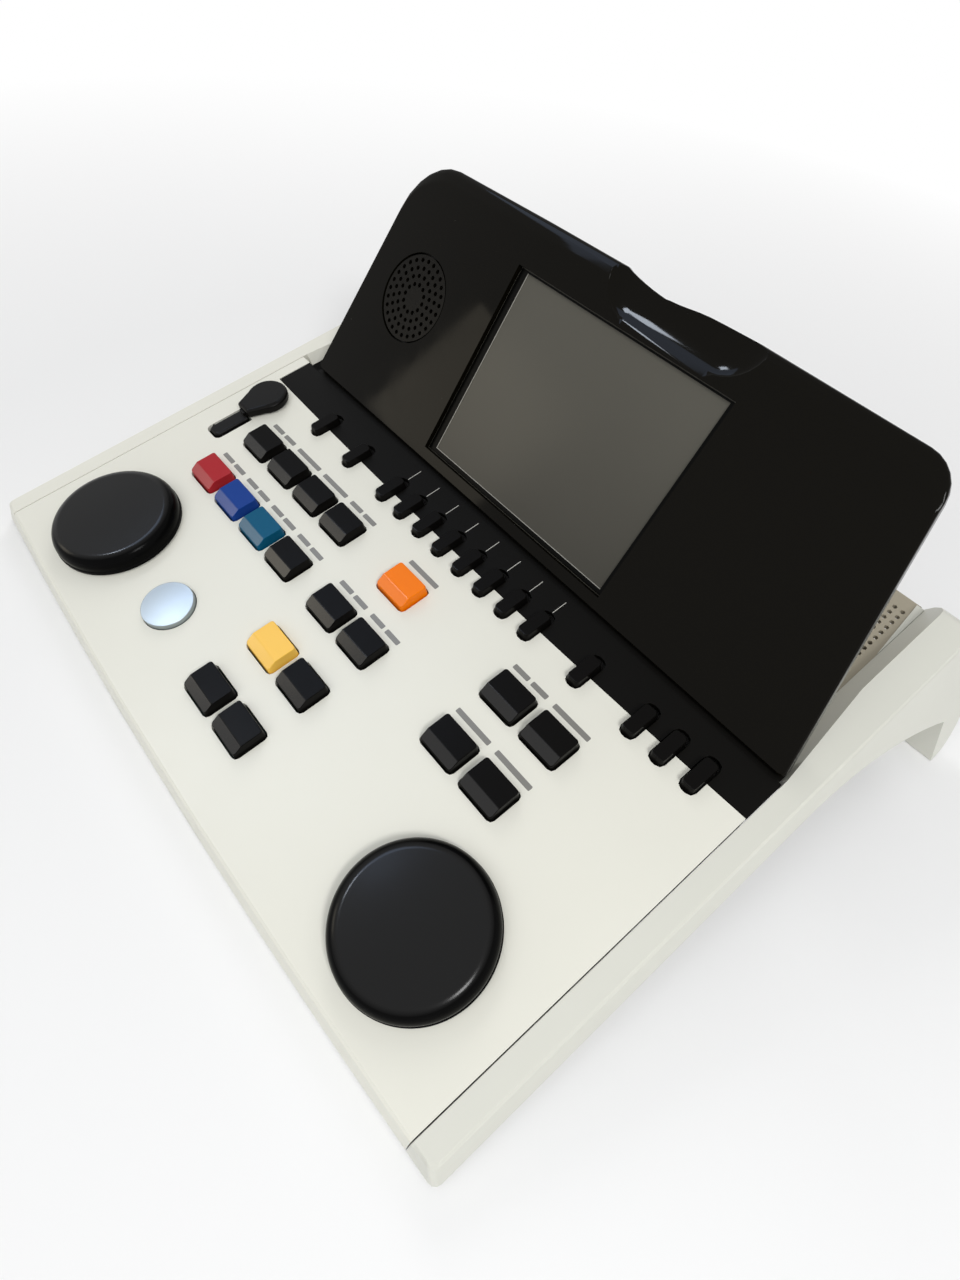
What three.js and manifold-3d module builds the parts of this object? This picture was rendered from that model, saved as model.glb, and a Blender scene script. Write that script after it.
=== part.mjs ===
// A desktop two-channel audiometer: a wedge-shaped case with two large dials, square and
// narrow keys, a folding talk microphone and a display lid standing open.
// Millimetres. +X to the user's right, +Y to the rear, +Z up, table at zero.
import * as THREE from 'three';
import { mergeVertices } from 'three/addons/utils/BufferGeometryUtils.js';
import Module from 'manifold-3d';

const wasm = await Module();
wasm.setup();

// Clearances and overruns
const overrun = 1;
const overlap = 0.4;
const seatGap = 0.3;
const slideGap = 0.35;
const shutLine = 0.5;
const pivotGap = 0.1;

// Case
const deckDepth = 268;
const deckSlope = THREE.MathUtils.degToRad(11);
const wallDraft = 0.38;
const wingDepth = 10;
const frontBow = 4.3;
const arrisChamfer = 0.8;
const frontCornerRadius = 3;
const railWidth = 9.3;
const coverThickness = 2.6;
const wallThickness = 2.5;
const legFrontLength = 4;
const rearBulge = 11;
const rearShoulderDepth = 20;
const rearShoulderShares = [0.2, 0.45];
const rearLegSetback = 15;
const wingTableGap = 0.64;
const legTableGap = 0.4;
const legHeight = 21;
const archTipSetback = 10;
const archSteps = 12;
const heelSteps = 10;
const legInset = 4;
const legBlockDepth = 18;
const wellInset = 4.9;
const wellTaperLength = 50;
const wellWallDraft = 0.45;
const wellDepth = 14;
const wellFloorThickness = 2.2;
const wellStartGap = 11.4;
const wellLipDrop = 8;
const wellLipThickness = 2.2;

// Key strip
const stripDepth = 18.4;
const stripKeyMargin = 25.15;
const stripBow = 3.3;
const stripLeftMargin = 6.8;
const stripThickness = 2.4;
const stripSideGap = 0.3;

// Large keys
const keyWidth = 19.3;
const keyDepth = 15.1;
const keyHeight = 4.6;
const keyCornerRadius = 1.8;
const keyEdgeBevel = 0.9;
const keyFacetDepth = 4.4;
const keyFacetDrop = 2.6;
const keyGap = 3.95;
const keyRowGap = 14;
const keyFrontMargin = 18.65;
const keyRightMargin = 66.3;
const lastColumn = 9;
const lastRow = 3;
const keyTravel = 1.8;
const keyFlange = 1.1;
const keyFlangeThickness = 1;

// Narrow keys
const narrowWidth = 6.8;
const narrowLength = 17.4;
const narrowHeight = 3.4;
const narrowEndRadius = 2.4;
const narrowFacetDepth = 6.6;
const narrowFacetDrop = 1.7;
const narrowLeftMargin = 64.1;
const narrowRightMargin = 30.6;
const narrowSetback = 20.3;

// Silver push button
const buttonRadius = 11.6;
const buttonHeight = 2.2;
const buttonDome = 0.8;
const buttonEdge = 0.7;
const buttonDialGap = 11.5;
const buttonForward = 3.5;

// Dials
const dialRadius = 29.4;
const dialHeight = 8.6;
const dialRound = 3.2;
const dialCrown = 0.5;
const dialFloat = 0.6;
const dialBoreDepth = 5.4;
const dialSkirtThickness = 2.4;
const dialFrontMargin = 6.2;
const dialLeftMargin = 6.3;
const dialRightMargin = 10.3;
const dishMargin = 6.6;
const dishDepth = 1.1;
const dishFloorMargin = 1;
const shaftRadius = 2.9;

// Microphone
const micRailMargin = 7.9;
const micKeyGap = 6.75;
const micStripGap = 3.3;
const micPivotInset = 3.4;
const micArmLength = 19;
const micArmWidth = 8.4;
const micArmHeight = 4.6;
const micArmRise = 1;
const micHeadRadius = 10.6;
const micHeadNeckWidth = 9.6;
const micHeadTaper = 14.8;
const micHeadArcStart = THREE.MathUtils.degToRad(-38);
const micHeadArcSteps = 22;
const micHeadThickness = 5;
const micHeadFloat = 0.6;
const micPocketGap = 1.6;
const micSwingGap = 1;
const micPinRadius = 0.8;
const micPinReach = 1.8;

// Display lid, drawn in its own plane: x across, y up the lid, z out of its face
const lidTilt = THREE.MathUtils.degToRad(46.5);
const lidLeftGap = 16;
const lidRightGap = 1;
const lidCrown = 1.4;
const lidCrownSteps = 10;
const lidTaperLeft = 12;
const lidTaperRight = 24.3;
const lidRadiusLeft = 24;
const lidRadiusRight = 15;
const lidFootRadius = 2;
const lidFrontThickness = 5;
const lidBackThickness = 6.6;
const lidEdgeBevel = 0.8;
const lidRollWidth = 7;
const lidRollDepth = 3.2;
const lidRollSteps = 5;
const lidBackInset = 0.8;
const lidBackDraft = 3;
const lidStripGap = 0.3;
const lidLift = 2.4;
const hingeDrop = 2.2;
const hingeDepth = 5.5;
const barrelRadius = 1.9;
const rodRadius = 0.9;
const barrelLength = 30;
const barrelEdgeMargin = 25;
const lugLength = 6;
const lugRadius = 1.7;
const hingeFootThickness = 2;
const barrelWebLength = 3;

// Screen and loudspeaker in the lid
const screenWidth = 116.9;
const screenHeight = 88.2;
const screenLeftMargin = 90.4;
const screenBottom = 5.7;
const screenTopMargin = 18.7;
const screenRecess = 2.6;
const screenFrame = 2;
const grilleRadius = 19.6;
const grilleLeftMargin = 22.6;
const grilleLift = 57;
const grilleThickness = 2;
const grilleGroove = 0.8;
const grilleHoleRadius = 1.1;
const grilleRingShares = [0.33, 0.52, 0.7, 0.88];
const grilleRingHoles = [12, 17, 22, 27];
const scoopLeftMargin = 169.7;
const scoopHalfWidth = 38;
const scoopHeight = 17;
const scoopDepth = 3.4;
const notchHalfWidth = 36;
const notchHeight = 6;
const notchDrop = 3.5;

// Base, rear panel and feet
const baseInset = 16;
const baseFrontInset = 12;
const baseRearInset = 18;
const footHeight = 2;
const footRadius = 7;
const footPocket = 1.2;
const footInset = 20;
const panelThickness = 2;
const panelSideInset = 12;
const panelLift = 5;
const panelTopMargin = 6.5;
const jackLip = 0.8;
const inletPinRadius = 1;
const jackRadius = 3.8;
const jackBoreRadius = 1.8;
const jackLength = 3;
const jackCount = 11;
const jackPitch = 17;
const jackSideMargin = 14;
const usbWidth = 12.2;
const usbHeight = 11;
const inletRadius = 5.5;
const boardThickness = 1.6;
const boardClearance = 1.2;
const boardMargin = 4;
const encoderWidth = 13;

// Vents in the rear well
const ventRadius = 1.1;
const ventPitch = 3.75;
const ventColumns = 4;
const ventRows = 10;
const ventSideEdge = 3.8;
const ventRearEdge = 8;

// Places across the deck, from its left edge to its right edge
const keyPitch = keyWidth + keyGap;
const micFromLeft = railWidth + micRailMargin + micHeadRadius;
const keyFromLeft = micFromLeft + micHeadRadius + micKeyGap + keyWidth / 2;
const halfDeck = (keyFromLeft + lastColumn * keyPitch + keyWidth / 2 + keyRightMargin) / 2;
const railInner = halfDeck - railWidth;
const micX = micFromLeft - halfDeck;
const keyFirstColumn = keyFromLeft - halfDeck;
const dishRadius = dialRadius + dishMargin;
const dialLeftX = dialLeftMargin + dishRadius - railInner;
const dialRightX = railInner - dialRightMargin - dishRadius;
const buttonX = dialLeftX + dishRadius + buttonDialGap + buttonRadius;

// Places up the deck, from its front edge to its rear edge
const keyRowPitch = keyDepth + keyRowGap;
const keyFirstRow = keyFrontMargin + keyDepth / 2;
const stripFront = keyFirstRow + lastRow * keyRowPitch + keyDepth / 2 + stripKeyMargin;
const stripRear = stripFront + stripDepth;
const narrowCentre = stripRear - narrowSetback;
const dialRow = dialFrontMargin + dialRadius;
const buttonY = dialRow - buttonForward;
const micHeadY = stripFront - micStripGap - micHeadRadius;
const micHeadNeckY = micHeadY - micHeadTaper;
const micTipY = micHeadNeckY - micArmLength;
const micPivotY = micTipY + micPivotInset;
const wellStart = stripRear + wellStartGap;

// Heights of the case over the table
const wingFront = frontBow + wallDraft * wingDepth;
const deckLift = wingTableGap + wingDepth * Math.cos(deckSlope) + wingFront * Math.sin(deckSlope);
const toeY = deckDepth - rearLegSetback;
const rearLegDepth = (deckLift + toeY * Math.sin(deckSlope) - legTableGap) / Math.cos(deckSlope);
const archTipDepth = rearLegDepth - legHeight;
const lidBaseY = stripRear + lidStripGap;
const lidHeight = screenBottom + screenHeight + screenTopMargin;
const lidLeft = lidLeftGap - railInner;
const lidRight = railInner - lidRightGap;
const screenLeft = lidLeft + screenLeftMargin;
const grilleX = lidLeft + grilleLeftMargin + grilleRadius;
const scoopX = lidLeft + scoopLeftMargin;
const barrelPlaces = [
  lidLeft + barrelEdgeMargin + barrelLength / 2, lidRight - barrelEdgeMargin - barrelLength / 2,
];
const vertexTolerance = 1e-4;

// Solids
function manifoldOf(geometry) {
  const bare = geometry.clone();
  bare.deleteAttribute('normal');
  bare.deleteAttribute('uv');
  const merged = mergeVertices(bare, vertexTolerance);
  const corners = Array.from(merged.index.array);
  const faces = corners.filter((_, i) => {
    const [a, b, c] = corners.slice(i - (i % 3), i - (i % 3) + 3);
    return a !== b && b !== c && c !== a;
  });
  return new wasm.Manifold(new wasm.Mesh({
    numProp: 3,
    vertProperties: Float32Array.from(merged.attributes.position.array),
    triVerts: Uint32Array.from(faces),
  }));
}

function geometryOf(manifold) {
  const mesh = manifold.getMesh();
  const geometry = new THREE.BufferGeometry();
  geometry.setAttribute('position', new THREE.BufferAttribute(mesh.vertProperties, mesh.numProp));
  geometry.setIndex(new THREE.BufferAttribute(mesh.triVerts, 1));
  return geometry;
}

function fuse(...parts) {
  return geometryOf(parts.map(manifoldOf).reduce((whole, part) => whole.add(part)));
}

function cut(body, ...tools) {
  return geometryOf(tools.map(manifoldOf).reduce((whole, tool) => whole.subtract(tool), manifoldOf(body)));
}

function common(first, second) {
  return geometryOf(manifoldOf(first).intersect(manifoldOf(second)));
}

function box(x0, x1, y0, y1, z0, z1) {
  const geometry = new THREE.BoxGeometry(x1 - x0, y1 - y0, z1 - z0);
  geometry.translate((x0 + x1) / 2, (y0 + y1) / 2, (z0 + z1) / 2);
  return geometry;
}

function slab(outline, bottom, top) {
  const shape = new THREE.Shape(outline.map(([x, y]) => new THREE.Vector2(x, y)));
  const geometry = new THREE.ExtrudeGeometry(shape, { depth: top - bottom, bevelEnabled: false });
  geometry.translate(0, 0, bottom);
  return geometry;
}

// A side outline of y and z, extruded across the case.
function across(outline, x0, x1) {
  const geometry = slab(outline, x0, x1);
  const turn = new THREE.Matrix4().set(0, 0, 1, 0, 1, 0, 0, 0, 0, 1, 0, 0, 0, 0, 0, 1);
  geometry.applyMatrix4(turn);
  return geometry;
}

// Rings of equally many points, from the lowest to the highest, each anticlockwise from above.
function loft(rings) {
  const count = rings[0].length;
  const points = rings.flat(2);
  const faces = [];
  rings.slice(1).forEach((ring, step) => {
    const low = step * count;
    const high = low + count;
    ring.forEach((point, j) => {
      const next = (j + 1) % count;
      faces.push(low + j, low + next, high + next, low + j, high + next, high + j);
    });
  });
  const cap = (ring, start, up) => {
    const flat = ring.map(([x, y]) => new THREE.Vector2(x, y));
    THREE.ShapeUtils.triangulateShape(flat, []).forEach(([a, b, c]) => {
      faces.push(start + a, start + (up ? b : c), start + (up ? c : b));
    });
  };
  cap(rings[0], 0, false);
  cap(rings.at(-1), (rings.length - 1) * count, true);
  const geometry = new THREE.BufferGeometry();
  geometry.setAttribute('position', new THREE.BufferAttribute(Float32Array.from(points), 3));
  geometry.setIndex(faces);
  return geometry;
}

function atHeight(outline, z) {
  return outline.map(([x, y]) => [x, y, z]);
}

function circle(radius, segments, x = 0, y = 0) {
  return Array.from({ length: segments }, (_, i) => {
    const angle = (2 * Math.PI * i) / segments;
    return [x + radius * Math.cos(angle), y + radius * Math.sin(angle)];
  });
}

// A round solid about Z from pairs of radius and height, lowest first.
function turned(profile, segments, x = 0, y = 0) {
  const ends = [[0, profile[0][1]], ...profile, [0, profile.at(-1)[1]]];
  const geometry = new THREE.LatheGeometry(ends.map(([r, z]) => new THREE.Vector2(r, z)), segments);
  geometry.rotateX(Math.PI / 2);
  geometry.translate(x, y, 0);
  return geometry;
}

function rodAcross(radius, x0, x1, y, z, segments) {
  return across(circle(radius, segments, y, z), x0, x1);
}

function roundCorner(before, corner, after, radius, segments) {
  if (radius === 0) return [corner];
  const here = new THREE.Vector2(...corner);
  const back = new THREE.Vector2(...before).sub(here).normalize();
  const on = new THREE.Vector2(...after).sub(here).normalize();
  const half = Math.acos(THREE.MathUtils.clamp(back.dot(on), -1, 1)) / 2;
  const centre = here.clone().add(back.clone().add(on).normalize().multiplyScalar(radius / Math.sin(half)));
  const start = here.clone().addScaledVector(back, radius / Math.tan(half)).sub(centre);
  const end = here.clone().addScaledVector(on, radius / Math.tan(half)).sub(centre);
  const sweep = Math.atan2(start.x * end.y - start.y * end.x, start.dot(end));
  return Array.from({ length: segments + 1 }, (_, i) => {
    const spoke = start.clone().rotateAround(new THREE.Vector2(), (sweep * i) / segments);
    return [centre.x + spoke.x, centre.y + spoke.y];
  });
}

function rounded(corners, radii, segments) {
  return corners.flatMap((corner, i) => {
    const before = corners[(i + corners.length - 1) % corners.length];
    const after = corners[(i + 1) % corners.length];
    return roundCorner(before, corner, after, radii[i], segments);
  });
}

function roundedBox(width, depth, radius, segments, x = 0, y = 0) {
  const corners = [
    [x - width / 2, y - depth / 2], [x + width / 2, y - depth / 2],
    [x + width / 2, y + depth / 2], [x - width / 2, y + depth / 2],
  ];
  return rounded(corners, corners.map(() => radius), segments);
}

// The hinge line of the lid, in the deck's axes.
const hinge = {
  y: lidBaseY - hingeDrop * Math.cos(lidTilt) + hingeDepth * Math.sin(lidTilt),
  z: lidLift - hingeDrop * Math.sin(lidTilt) - hingeDepth * Math.cos(lidTilt),
};

// The deck's own axes are x across, y up the slope and z out of the deck.
const deckFrontY = -(deckDepth * Math.cos(deckSlope)) / 2;

function mirrored(geometry) {
  const twin = geometry.clone();
  twin.scale(-1, 1, 1);
  const order = twin.index.array.slice();
  for (let i = 0; i < order.length; i += 3) [order[i], order[i + 1]] = [order[i + 1], order[i]];
  twin.setIndex(new THREE.BufferAttribute(order, 1));
  return twin;
}

// Case surfaces in the deck's axes
const bowSteps = 20;

function bow(rise, x) {
  return -rise * (1 - (x / halfDeck) ** 2);
}

function bowedLine(left, right, y, rise) {
  return Array.from({ length: bowSteps + 1 }, (_, i) => {
    const x = left + ((right - left) * i) / bowSteps;
    return [x, y + bow(rise, x)];
  });
}

function caseRing(depth, inset = 0) {
  const out = wallDraft * depth - inset;
  const half = halfDeck + out;
  const front = bowedLine(-half, half, 0, frontBow).map(([x, y]) => [x, Math.min(y, 0) - out]);
  const rear = deckDepth + rearBulge * Math.sqrt(1 - Math.max(1 - depth / rearShoulderDepth, 0) ** 2);
  const corners = [...front, [half, rear], [-half, rear]];
  const radii = corners.map((_, i) => (i === 0 || i === front.length - 1 ? frontCornerRadius : 0));
  return rounded(corners, radii, 3);
}

function caseBody() {
  const shoulders = rearShoulderShares.map((share) => share * rearShoulderDepth);
  const depths = [arrisChamfer, ...shoulders, rearShoulderDepth, rearLegDepth].reverse();
  return loft([
    ...depths.map((depth) => atHeight(caseRing(depth), -depth)),
    atHeight(caseRing(0, arrisChamfer), 0),
  ]);
}

// The side view of the case: a thin wing at the front, an arch, and a leg at the rear.
function sideOutline() {
  const out = wingFront + overrun;
  const rear = deckDepth + rearBulge;
  const archEnd = deckDepth - archTipSetback;
  const arch = Array.from({ length: archSteps + 1 }, (_, i) => {
    const along = i / archSteps;
    return [
      stripRear + (archEnd - stripRear) * along,
      -wingDepth - (archTipDepth - wingDepth) * along ** 2,
    ];
  });
  const heelY = toeY + legFrontLength;
  const heel = Array.from({ length: heelSteps + 1 }, (_, i) => {
    const angle = (Math.PI * i) / (2 * heelSteps);
    return [
      heelY + (rear - heelY) * Math.sin(angle),
      -rearShoulderDepth - (rearLegDepth - rearShoulderDepth) * Math.cos(angle),
    ];
  });
  return [
    [-out, overrun], [-out, -wingDepth], ...arch, [toeY, -rearLegDepth], ...heel,
    [rear + overrun, -rearShoulderDepth], [rear + overrun, overrun],
  ];
}

const caseRear = deckDepth + rearBulge + overrun;
const caseSide = halfDeck + rearLegDepth;

function railZone() {
  const low = wellDepth + wellFloorThickness;
  const rear = (depth) => {
    const inner = railInner - wellWallDraft * depth;
    return atHeight([
      [inner, hinge.y], [caseSide, hinge.y], [caseSide, caseRear], [inner - wellInset, caseRear],
      [inner - wellInset, hinge.y + wellTaperLength],
    ], -depth);
  };
  return fuse(
    box(railInner, caseSide, -frontBow - rearLegDepth, hinge.y + overlap, -wingDepth, overrun),
    loft([rear(low), rear(-overrun)]),
  );
}

// The wall below the wing, following the draft of the case.
function skirtZone() {
  const ring = (depth) => {
    const inner = halfDeck + wallDraft * depth - wallThickness;
    return atHeight([
      [inner, stripRear], [caseSide, stripRear], [caseSide, caseRear], [inner, caseRear],
    ], -depth);
  };
  return loft([ring(rearLegDepth + overrun), ring(wingDepth - overlap)]);
}

function rightRail() {
  const shell = common(caseBody(), across(sideOutline(), 0, caseSide));
  const leg = box(halfDeck - legInset, caseSide, deckDepth - legBlockDepth, caseRear,
    -rearLegDepth - overrun, -wellDepth + overlap);
  return common(shell, fuse(railZone(), skirtZone(), leg));
}

// Top cover with its openings
function stripFrontAt(x) {
  return stripFront + bow(stripBow, x);
}

const coverHalf = railInner - shutLine;
const stripLeft = stripLeftMargin - railInner;

function coverRing(depth, inset = 0) {
  const out = wallDraft * depth - inset;
  const front = bowedLine(-coverHalf, coverHalf, -out, frontBow);
  const line = bowedLine(stripLeft, coverHalf, stripFront - stripSideGap, stripBow).reverse();
  const ring = [...front, ...line, [stripLeft, stripRear], [-coverHalf, stripRear]];
  return atHeight(ring, -depth);
}

const keys = [
  ['key_a1', 0, 3], ['key_a2', 1, 3], ['key_a3', 2, 3], ['key_a4', 3, 3],
  ['key_red', 0, 2], ['key_blue', 1, 2], ['key_teal', 2, 2], ['key_b4', 3, 2],
  ['key_orange', 5, 3], ['key_c1', 4.5, 2], ['key_c2', 5.5, 2],
  ['key_yellow', 4.5, 1], ['key_d2', 5.5, 1], ['key_e1', 4.5, 0], ['key_e2', 5.5, 0],
  ['key_f1', 8, 3], ['key_f2', 9, 3], ['key_g1', 8, 2], ['key_g2', 9, 2],
];
const narrowSlots = [-4, -2, 0, 1, 2, 3, 4, 5, 6, 7, 9, 11, 12, 13];

function keyPlace(column, row) {
  return { x: keyFirstColumn + keyPitch * column, y: keyFirstRow + keyRowPitch * row };
}

function narrowPlace(slot) {
  const span = 2 * halfDeck - narrowLeftMargin - narrowRightMargin;
  const share = (slot - narrowSlots[0]) / (narrowSlots.at(-1) - narrowSlots[0]);
  const x = narrowLeftMargin - halfDeck + span * share;
  return { x, y: narrowCentre + bow(stripBow, x) - bow(stripBow, halfDeck / 2) };
}

function opening(width, depth, radius, { x, y }) {
  const outline = roundedBox(width + 2 * slideGap, depth + 2 * slideGap, radius + slideGap, 2, x, y);
  return slab(outline, -coverThickness - overrun, overrun);
}

function narrowOpenings() {
  return narrowSlots.map(
    (slot) => opening(narrowWidth, narrowLength, narrowEndRadius, narrowPlace(slot)),
  );
}

function micPocket() {
  const half = micArmWidth / 2 + micPocketGap;
  const rear = micHeadNeckY + overrun;
  const outline = rounded([
    [micX - half, micTipY - micSwingGap], [micX + half, micTipY - micSwingGap],
    [micX + half, rear], [micX - half, rear],
  ], [half / 2, half / 2, 0, 0], 3);
  return slab(outline, -coverThickness - overrun, overrun);
}

function dish(x) {
  const floorRadius = dialRadius + dishFloorMargin;
  const above = dishRadius + (dishRadius - floorRadius) * (overrun / dishDepth);
  return turned([[floorRadius, -dishDepth], [above, overrun]], 48, x, dialRow);
}

function roundHole(radius, segments, x, y) {
  return turned([[radius, -coverThickness - overrun], [radius, overrun]], segments, x, y);
}

function topCover() {
  const solid = loft([
    coverRing(wingDepth), coverRing(arrisChamfer), coverRing(0, arrisChamfer),
  ]);
  const inside = coverHalf - wallThickness;
  const hollow = loft([wingDepth + overrun, coverThickness].map((depth) => {
    const front = bowedLine(-inside, inside, wallThickness - wallDraft * depth, frontBow);
    const rear = stripRear + overrun;
    return atHeight([...front, [inside, rear], [-inside, rear]], -depth);
  }));
  const holes = [dialLeftX, dialRightX].map(
    (x) => roundHole(shaftRadius + pivotGap, 20, x, dialRow),
  );
  const pinHole = rodAcross(micPinRadius + pivotGap, micX - micPinHalf - seatGap,
    micX + micPinHalf + seatGap, micPivotY, micPinZ, 12);
  return cut(
    solid, hollow, dish(dialLeftX), dish(dialRightX), ...holes,
    roundHole(buttonRadius + slideGap, 36, buttonX, buttonY),
    micPocket(), pinHole,
    ...keys.map(([, column, row]) => (
      opening(keyWidth, keyDepth, keyCornerRadius, keyPlace(column, row)))),
    ...narrowOpenings(),
  );
}

function keyStrip() {
  const left = stripLeft + stripSideGap;
  const right = railInner - stripSideGap;
  const line = bowedLine(left, right, stripFront, stripBow);
  const plate = slab([...line, [right, stripRear], [left, stripRear]], -stripThickness, 0);
  return cut(plate, ...narrowOpenings());
}

// Keys, push button and dials
const flangeTop = -coverThickness - seatGap;

function keyBody(width, depth, radius, height, facet, drop) {
  const ring = (grow, z) => atHeight(roundedBox(
    width + 2 * grow, depth + 2 * grow, Math.max(radius + grow, keyEdgeBevel / 2), 2,
  ), z);
  const solid = loft([
    ring(keyFlange, flangeTop - keyFlangeThickness), ring(keyFlange, flangeTop),
    ring(0, flangeTop), ring(0, height - keyEdgeBevel), ring(-keyEdgeBevel, height),
  ]);
  const front = -depth / 2;
  const wedge = across([
    [front - overrun, height - drop - overrun * (drop / facet)], [front + facet, height],
    [front + facet, height + overrun], [front - overrun, height + overrun],
  ], -width, width);
  return cut(solid, wedge);
}

function largeKey() {
  return keyBody(keyWidth, keyDepth, keyCornerRadius, keyHeight, keyFacetDepth, keyFacetDrop);
}

function narrowKey() {
  return keyBody(
    narrowWidth, narrowLength, narrowEndRadius, narrowHeight, narrowFacetDepth, narrowFacetDrop,
  );
}

function silverButton() {
  return turned([
    [buttonRadius + keyFlange, flangeTop - keyFlangeThickness],
    [buttonRadius + keyFlange, flangeTop],
    [buttonRadius, flangeTop],
    [buttonRadius, buttonHeight - buttonEdge],
    [buttonRadius - buttonEdge, buttonHeight],
    [buttonRadius / 6, buttonHeight + buttonDome],
  ], 36);
}

function dial() {
  const bottom = -dishDepth + dialFloat;
  const shoulder = dialHeight - dialRound;
  const quarter = [0, 0.33, 0.67, 1].map((share) => {
    const angle = (share * Math.PI) / 2;
    return [
      dialRadius - dialRound * (1 - Math.cos(angle)),
      shoulder + (dialRound - dialCrown) * Math.sin(angle),
    ];
  });
  const solid = turned([
    [dialRadius - dialCrown, bottom], ...quarter, [dialRadius / 8, dialHeight],
  ], 48);
  const inner = dialRadius - dialSkirtThickness;
  const boreRadius = shaftRadius + pivotGap;
  const outer = boreRadius + dialSkirtThickness;
  const ceiling = shoulder - dialSkirtThickness;
  const skirt = turned([[inner, bottom - overrun], [inner, ceiling]], 32);
  const boss = turned([[outer, bottom], [outer, ceiling + overlap]], 20);
  const bore = turned([[boreRadius, bottom - overrun], [boreRadius, bottom + dialBoreDepth]], 20);
  return cut(fuse(cut(solid, skirt), boss), bore);
}

// Folding microphone
const micArmBottom = micArmRise - micArmHeight;
const micArmRear = micHeadNeckY - seatGap;
const micPinZ = -coverThickness / 2;
const micPinHalf = micArmWidth / 2 + micPocketGap + micPinReach;

function micArm() {
  const half = micArmWidth / 2;
  const plan = (inset, z) => atHeight(rounded([
    [micX - half + inset, micTipY + inset], [micX + half - inset, micTipY + inset],
    [micX + half - inset, micArmRear], [micX - half + inset, micArmRear],
  ], [half / 2, half / 2, 0, 0], 3), z);
  const arm = loft([
    plan(0, micArmBottom), plan(0, micArmRise - arrisChamfer), plan(arrisChamfer, micArmRise),
  ]);
  const tongueHalf = micArmWidth / 4;
  const tongueTop = micHeadFloat + micHeadThickness / 2;
  const riser = box(micX - tongueHalf, micX + tongueHalf, micArmRear - overrun,
    micArmRear + overrun, micPinZ, tongueTop);
  const tongue = box(micX - tongueHalf, micX + tongueHalf, micArmRear, micHeadY,
    micArmRise, tongueTop);
  const pin = rodAcross(micPinRadius, micX - micPinHalf, micX + micPinHalf, micPivotY, micPinZ, 12);
  return fuse(arm, riser, tongue, pin);
}

function micHead() {
  const sweep = Math.PI - 2 * micHeadArcStart;
  const outline = (grow, z) => {
    const radius = micHeadRadius - grow;
    const neck = micHeadNeckWidth / 2 - grow;
    const arc = Array.from({ length: micHeadArcSteps + 1 }, (_, i) => {
      const angle = micHeadArcStart + (sweep * i) / micHeadArcSteps;
      return [micX + radius * Math.cos(angle), micHeadY + radius * Math.sin(angle)];
    });
    const end = micHeadNeckY + grow;
    return atHeight([...arc, [micX - neck, end], [micX + neck, end]], z);
  };
  const top = micHeadFloat + micHeadThickness;
  const solid = loft([
    outline(arrisChamfer, micHeadFloat), outline(0, micHeadFloat + arrisChamfer),
    outline(0, top - micHeadThickness / 4),
    outline(arrisChamfer, top - arrisChamfer / 2), outline(2 * arrisChamfer, top),
  ]);
  const half = micArmWidth / 4 + seatGap;
  const socket = box(micX - half, micX + half, micHeadNeckY - overrun, micHeadY + seatGap,
    micHeadFloat - overrun, micHeadFloat + micHeadThickness / 2 + seatGap);
  return cut(solid, socket);
}

// Display lid, in its own axes
const lidBackTop = -lidFrontThickness - seatGap;
const lidBackBottom = lidBackTop - lidBackThickness;
const lidDepth = -lidBackBottom;

function lidRing(inset, z, drop = 0) {
  const left = lidLeft + inset;
  const right = lidRight - inset;
  const top = lidHeight - inset - drop;
  const reach = 1 - drop / lidHeight;
  const topLeft = left + lidTaperLeft * reach;
  const topRight = right - lidTaperRight * reach;
  const crown = Array.from({ length: lidCrownSteps - 1 }, (_, i) => {
    const share = (i + 1) / lidCrownSteps;
    const x = topRight + (topLeft - topRight) * share;
    return [x, top + lidCrown * (1 - (2 * share - 1) ** 2)];
  });
  const corners = [[left, inset], [right, inset], [topRight, top], ...crown, [topLeft, top]];
  const radii = [lidFootRadius, lidFootRadius, lidRadiusRight - inset, ...crown.map(() => 0),
    lidRadiusLeft - inset];
  return atHeight(rounded(corners, radii, 6), z);
}

function screenBox(grow, z0, z1) {
  return box(screenLeft - grow, screenLeft + screenWidth + grow, screenBottom - grow,
    screenBottom + screenHeight + grow, z0, z1);
}

function grilleDisc(radius, segments, z0, z1) {
  return turned([[radius, z0], [radius, z1]], segments, grilleX, grilleLift);
}

// The finger scoop in the face: a trough with round ends.
function lidScoop() {
  const half = scoopHalfWidth - scoopHeight;
  const ends = [-half, half].map((x) => {
    const ball = new THREE.SphereGeometry(scoopHeight, 32, 16);
    ball.translate(x, 0, 0);
    return ball;
  });
  const scoop = fuse(rodAcross(scoopHeight, -half, half, 0, 0, 32), ...ends);
  scoop.scale(1, 1, scoopDepth / scoopHeight);
  scoop.translate(scoopX, lidHeight + lidCrown, 0);
  return scoop;
}

// The dip that the scoop leaves in the top edge.
function lidNotch() {
  const notch = turned([[overrun, -lidDepth - overrun], [overrun, overrun]], 48);
  notch.scale(notchHalfWidth / overrun, notchHeight / overrun, 1);
  notch.translate(scoopX, lidHeight + lidCrown + notchHeight - notchDrop, 0);
  return notch;
}

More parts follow.
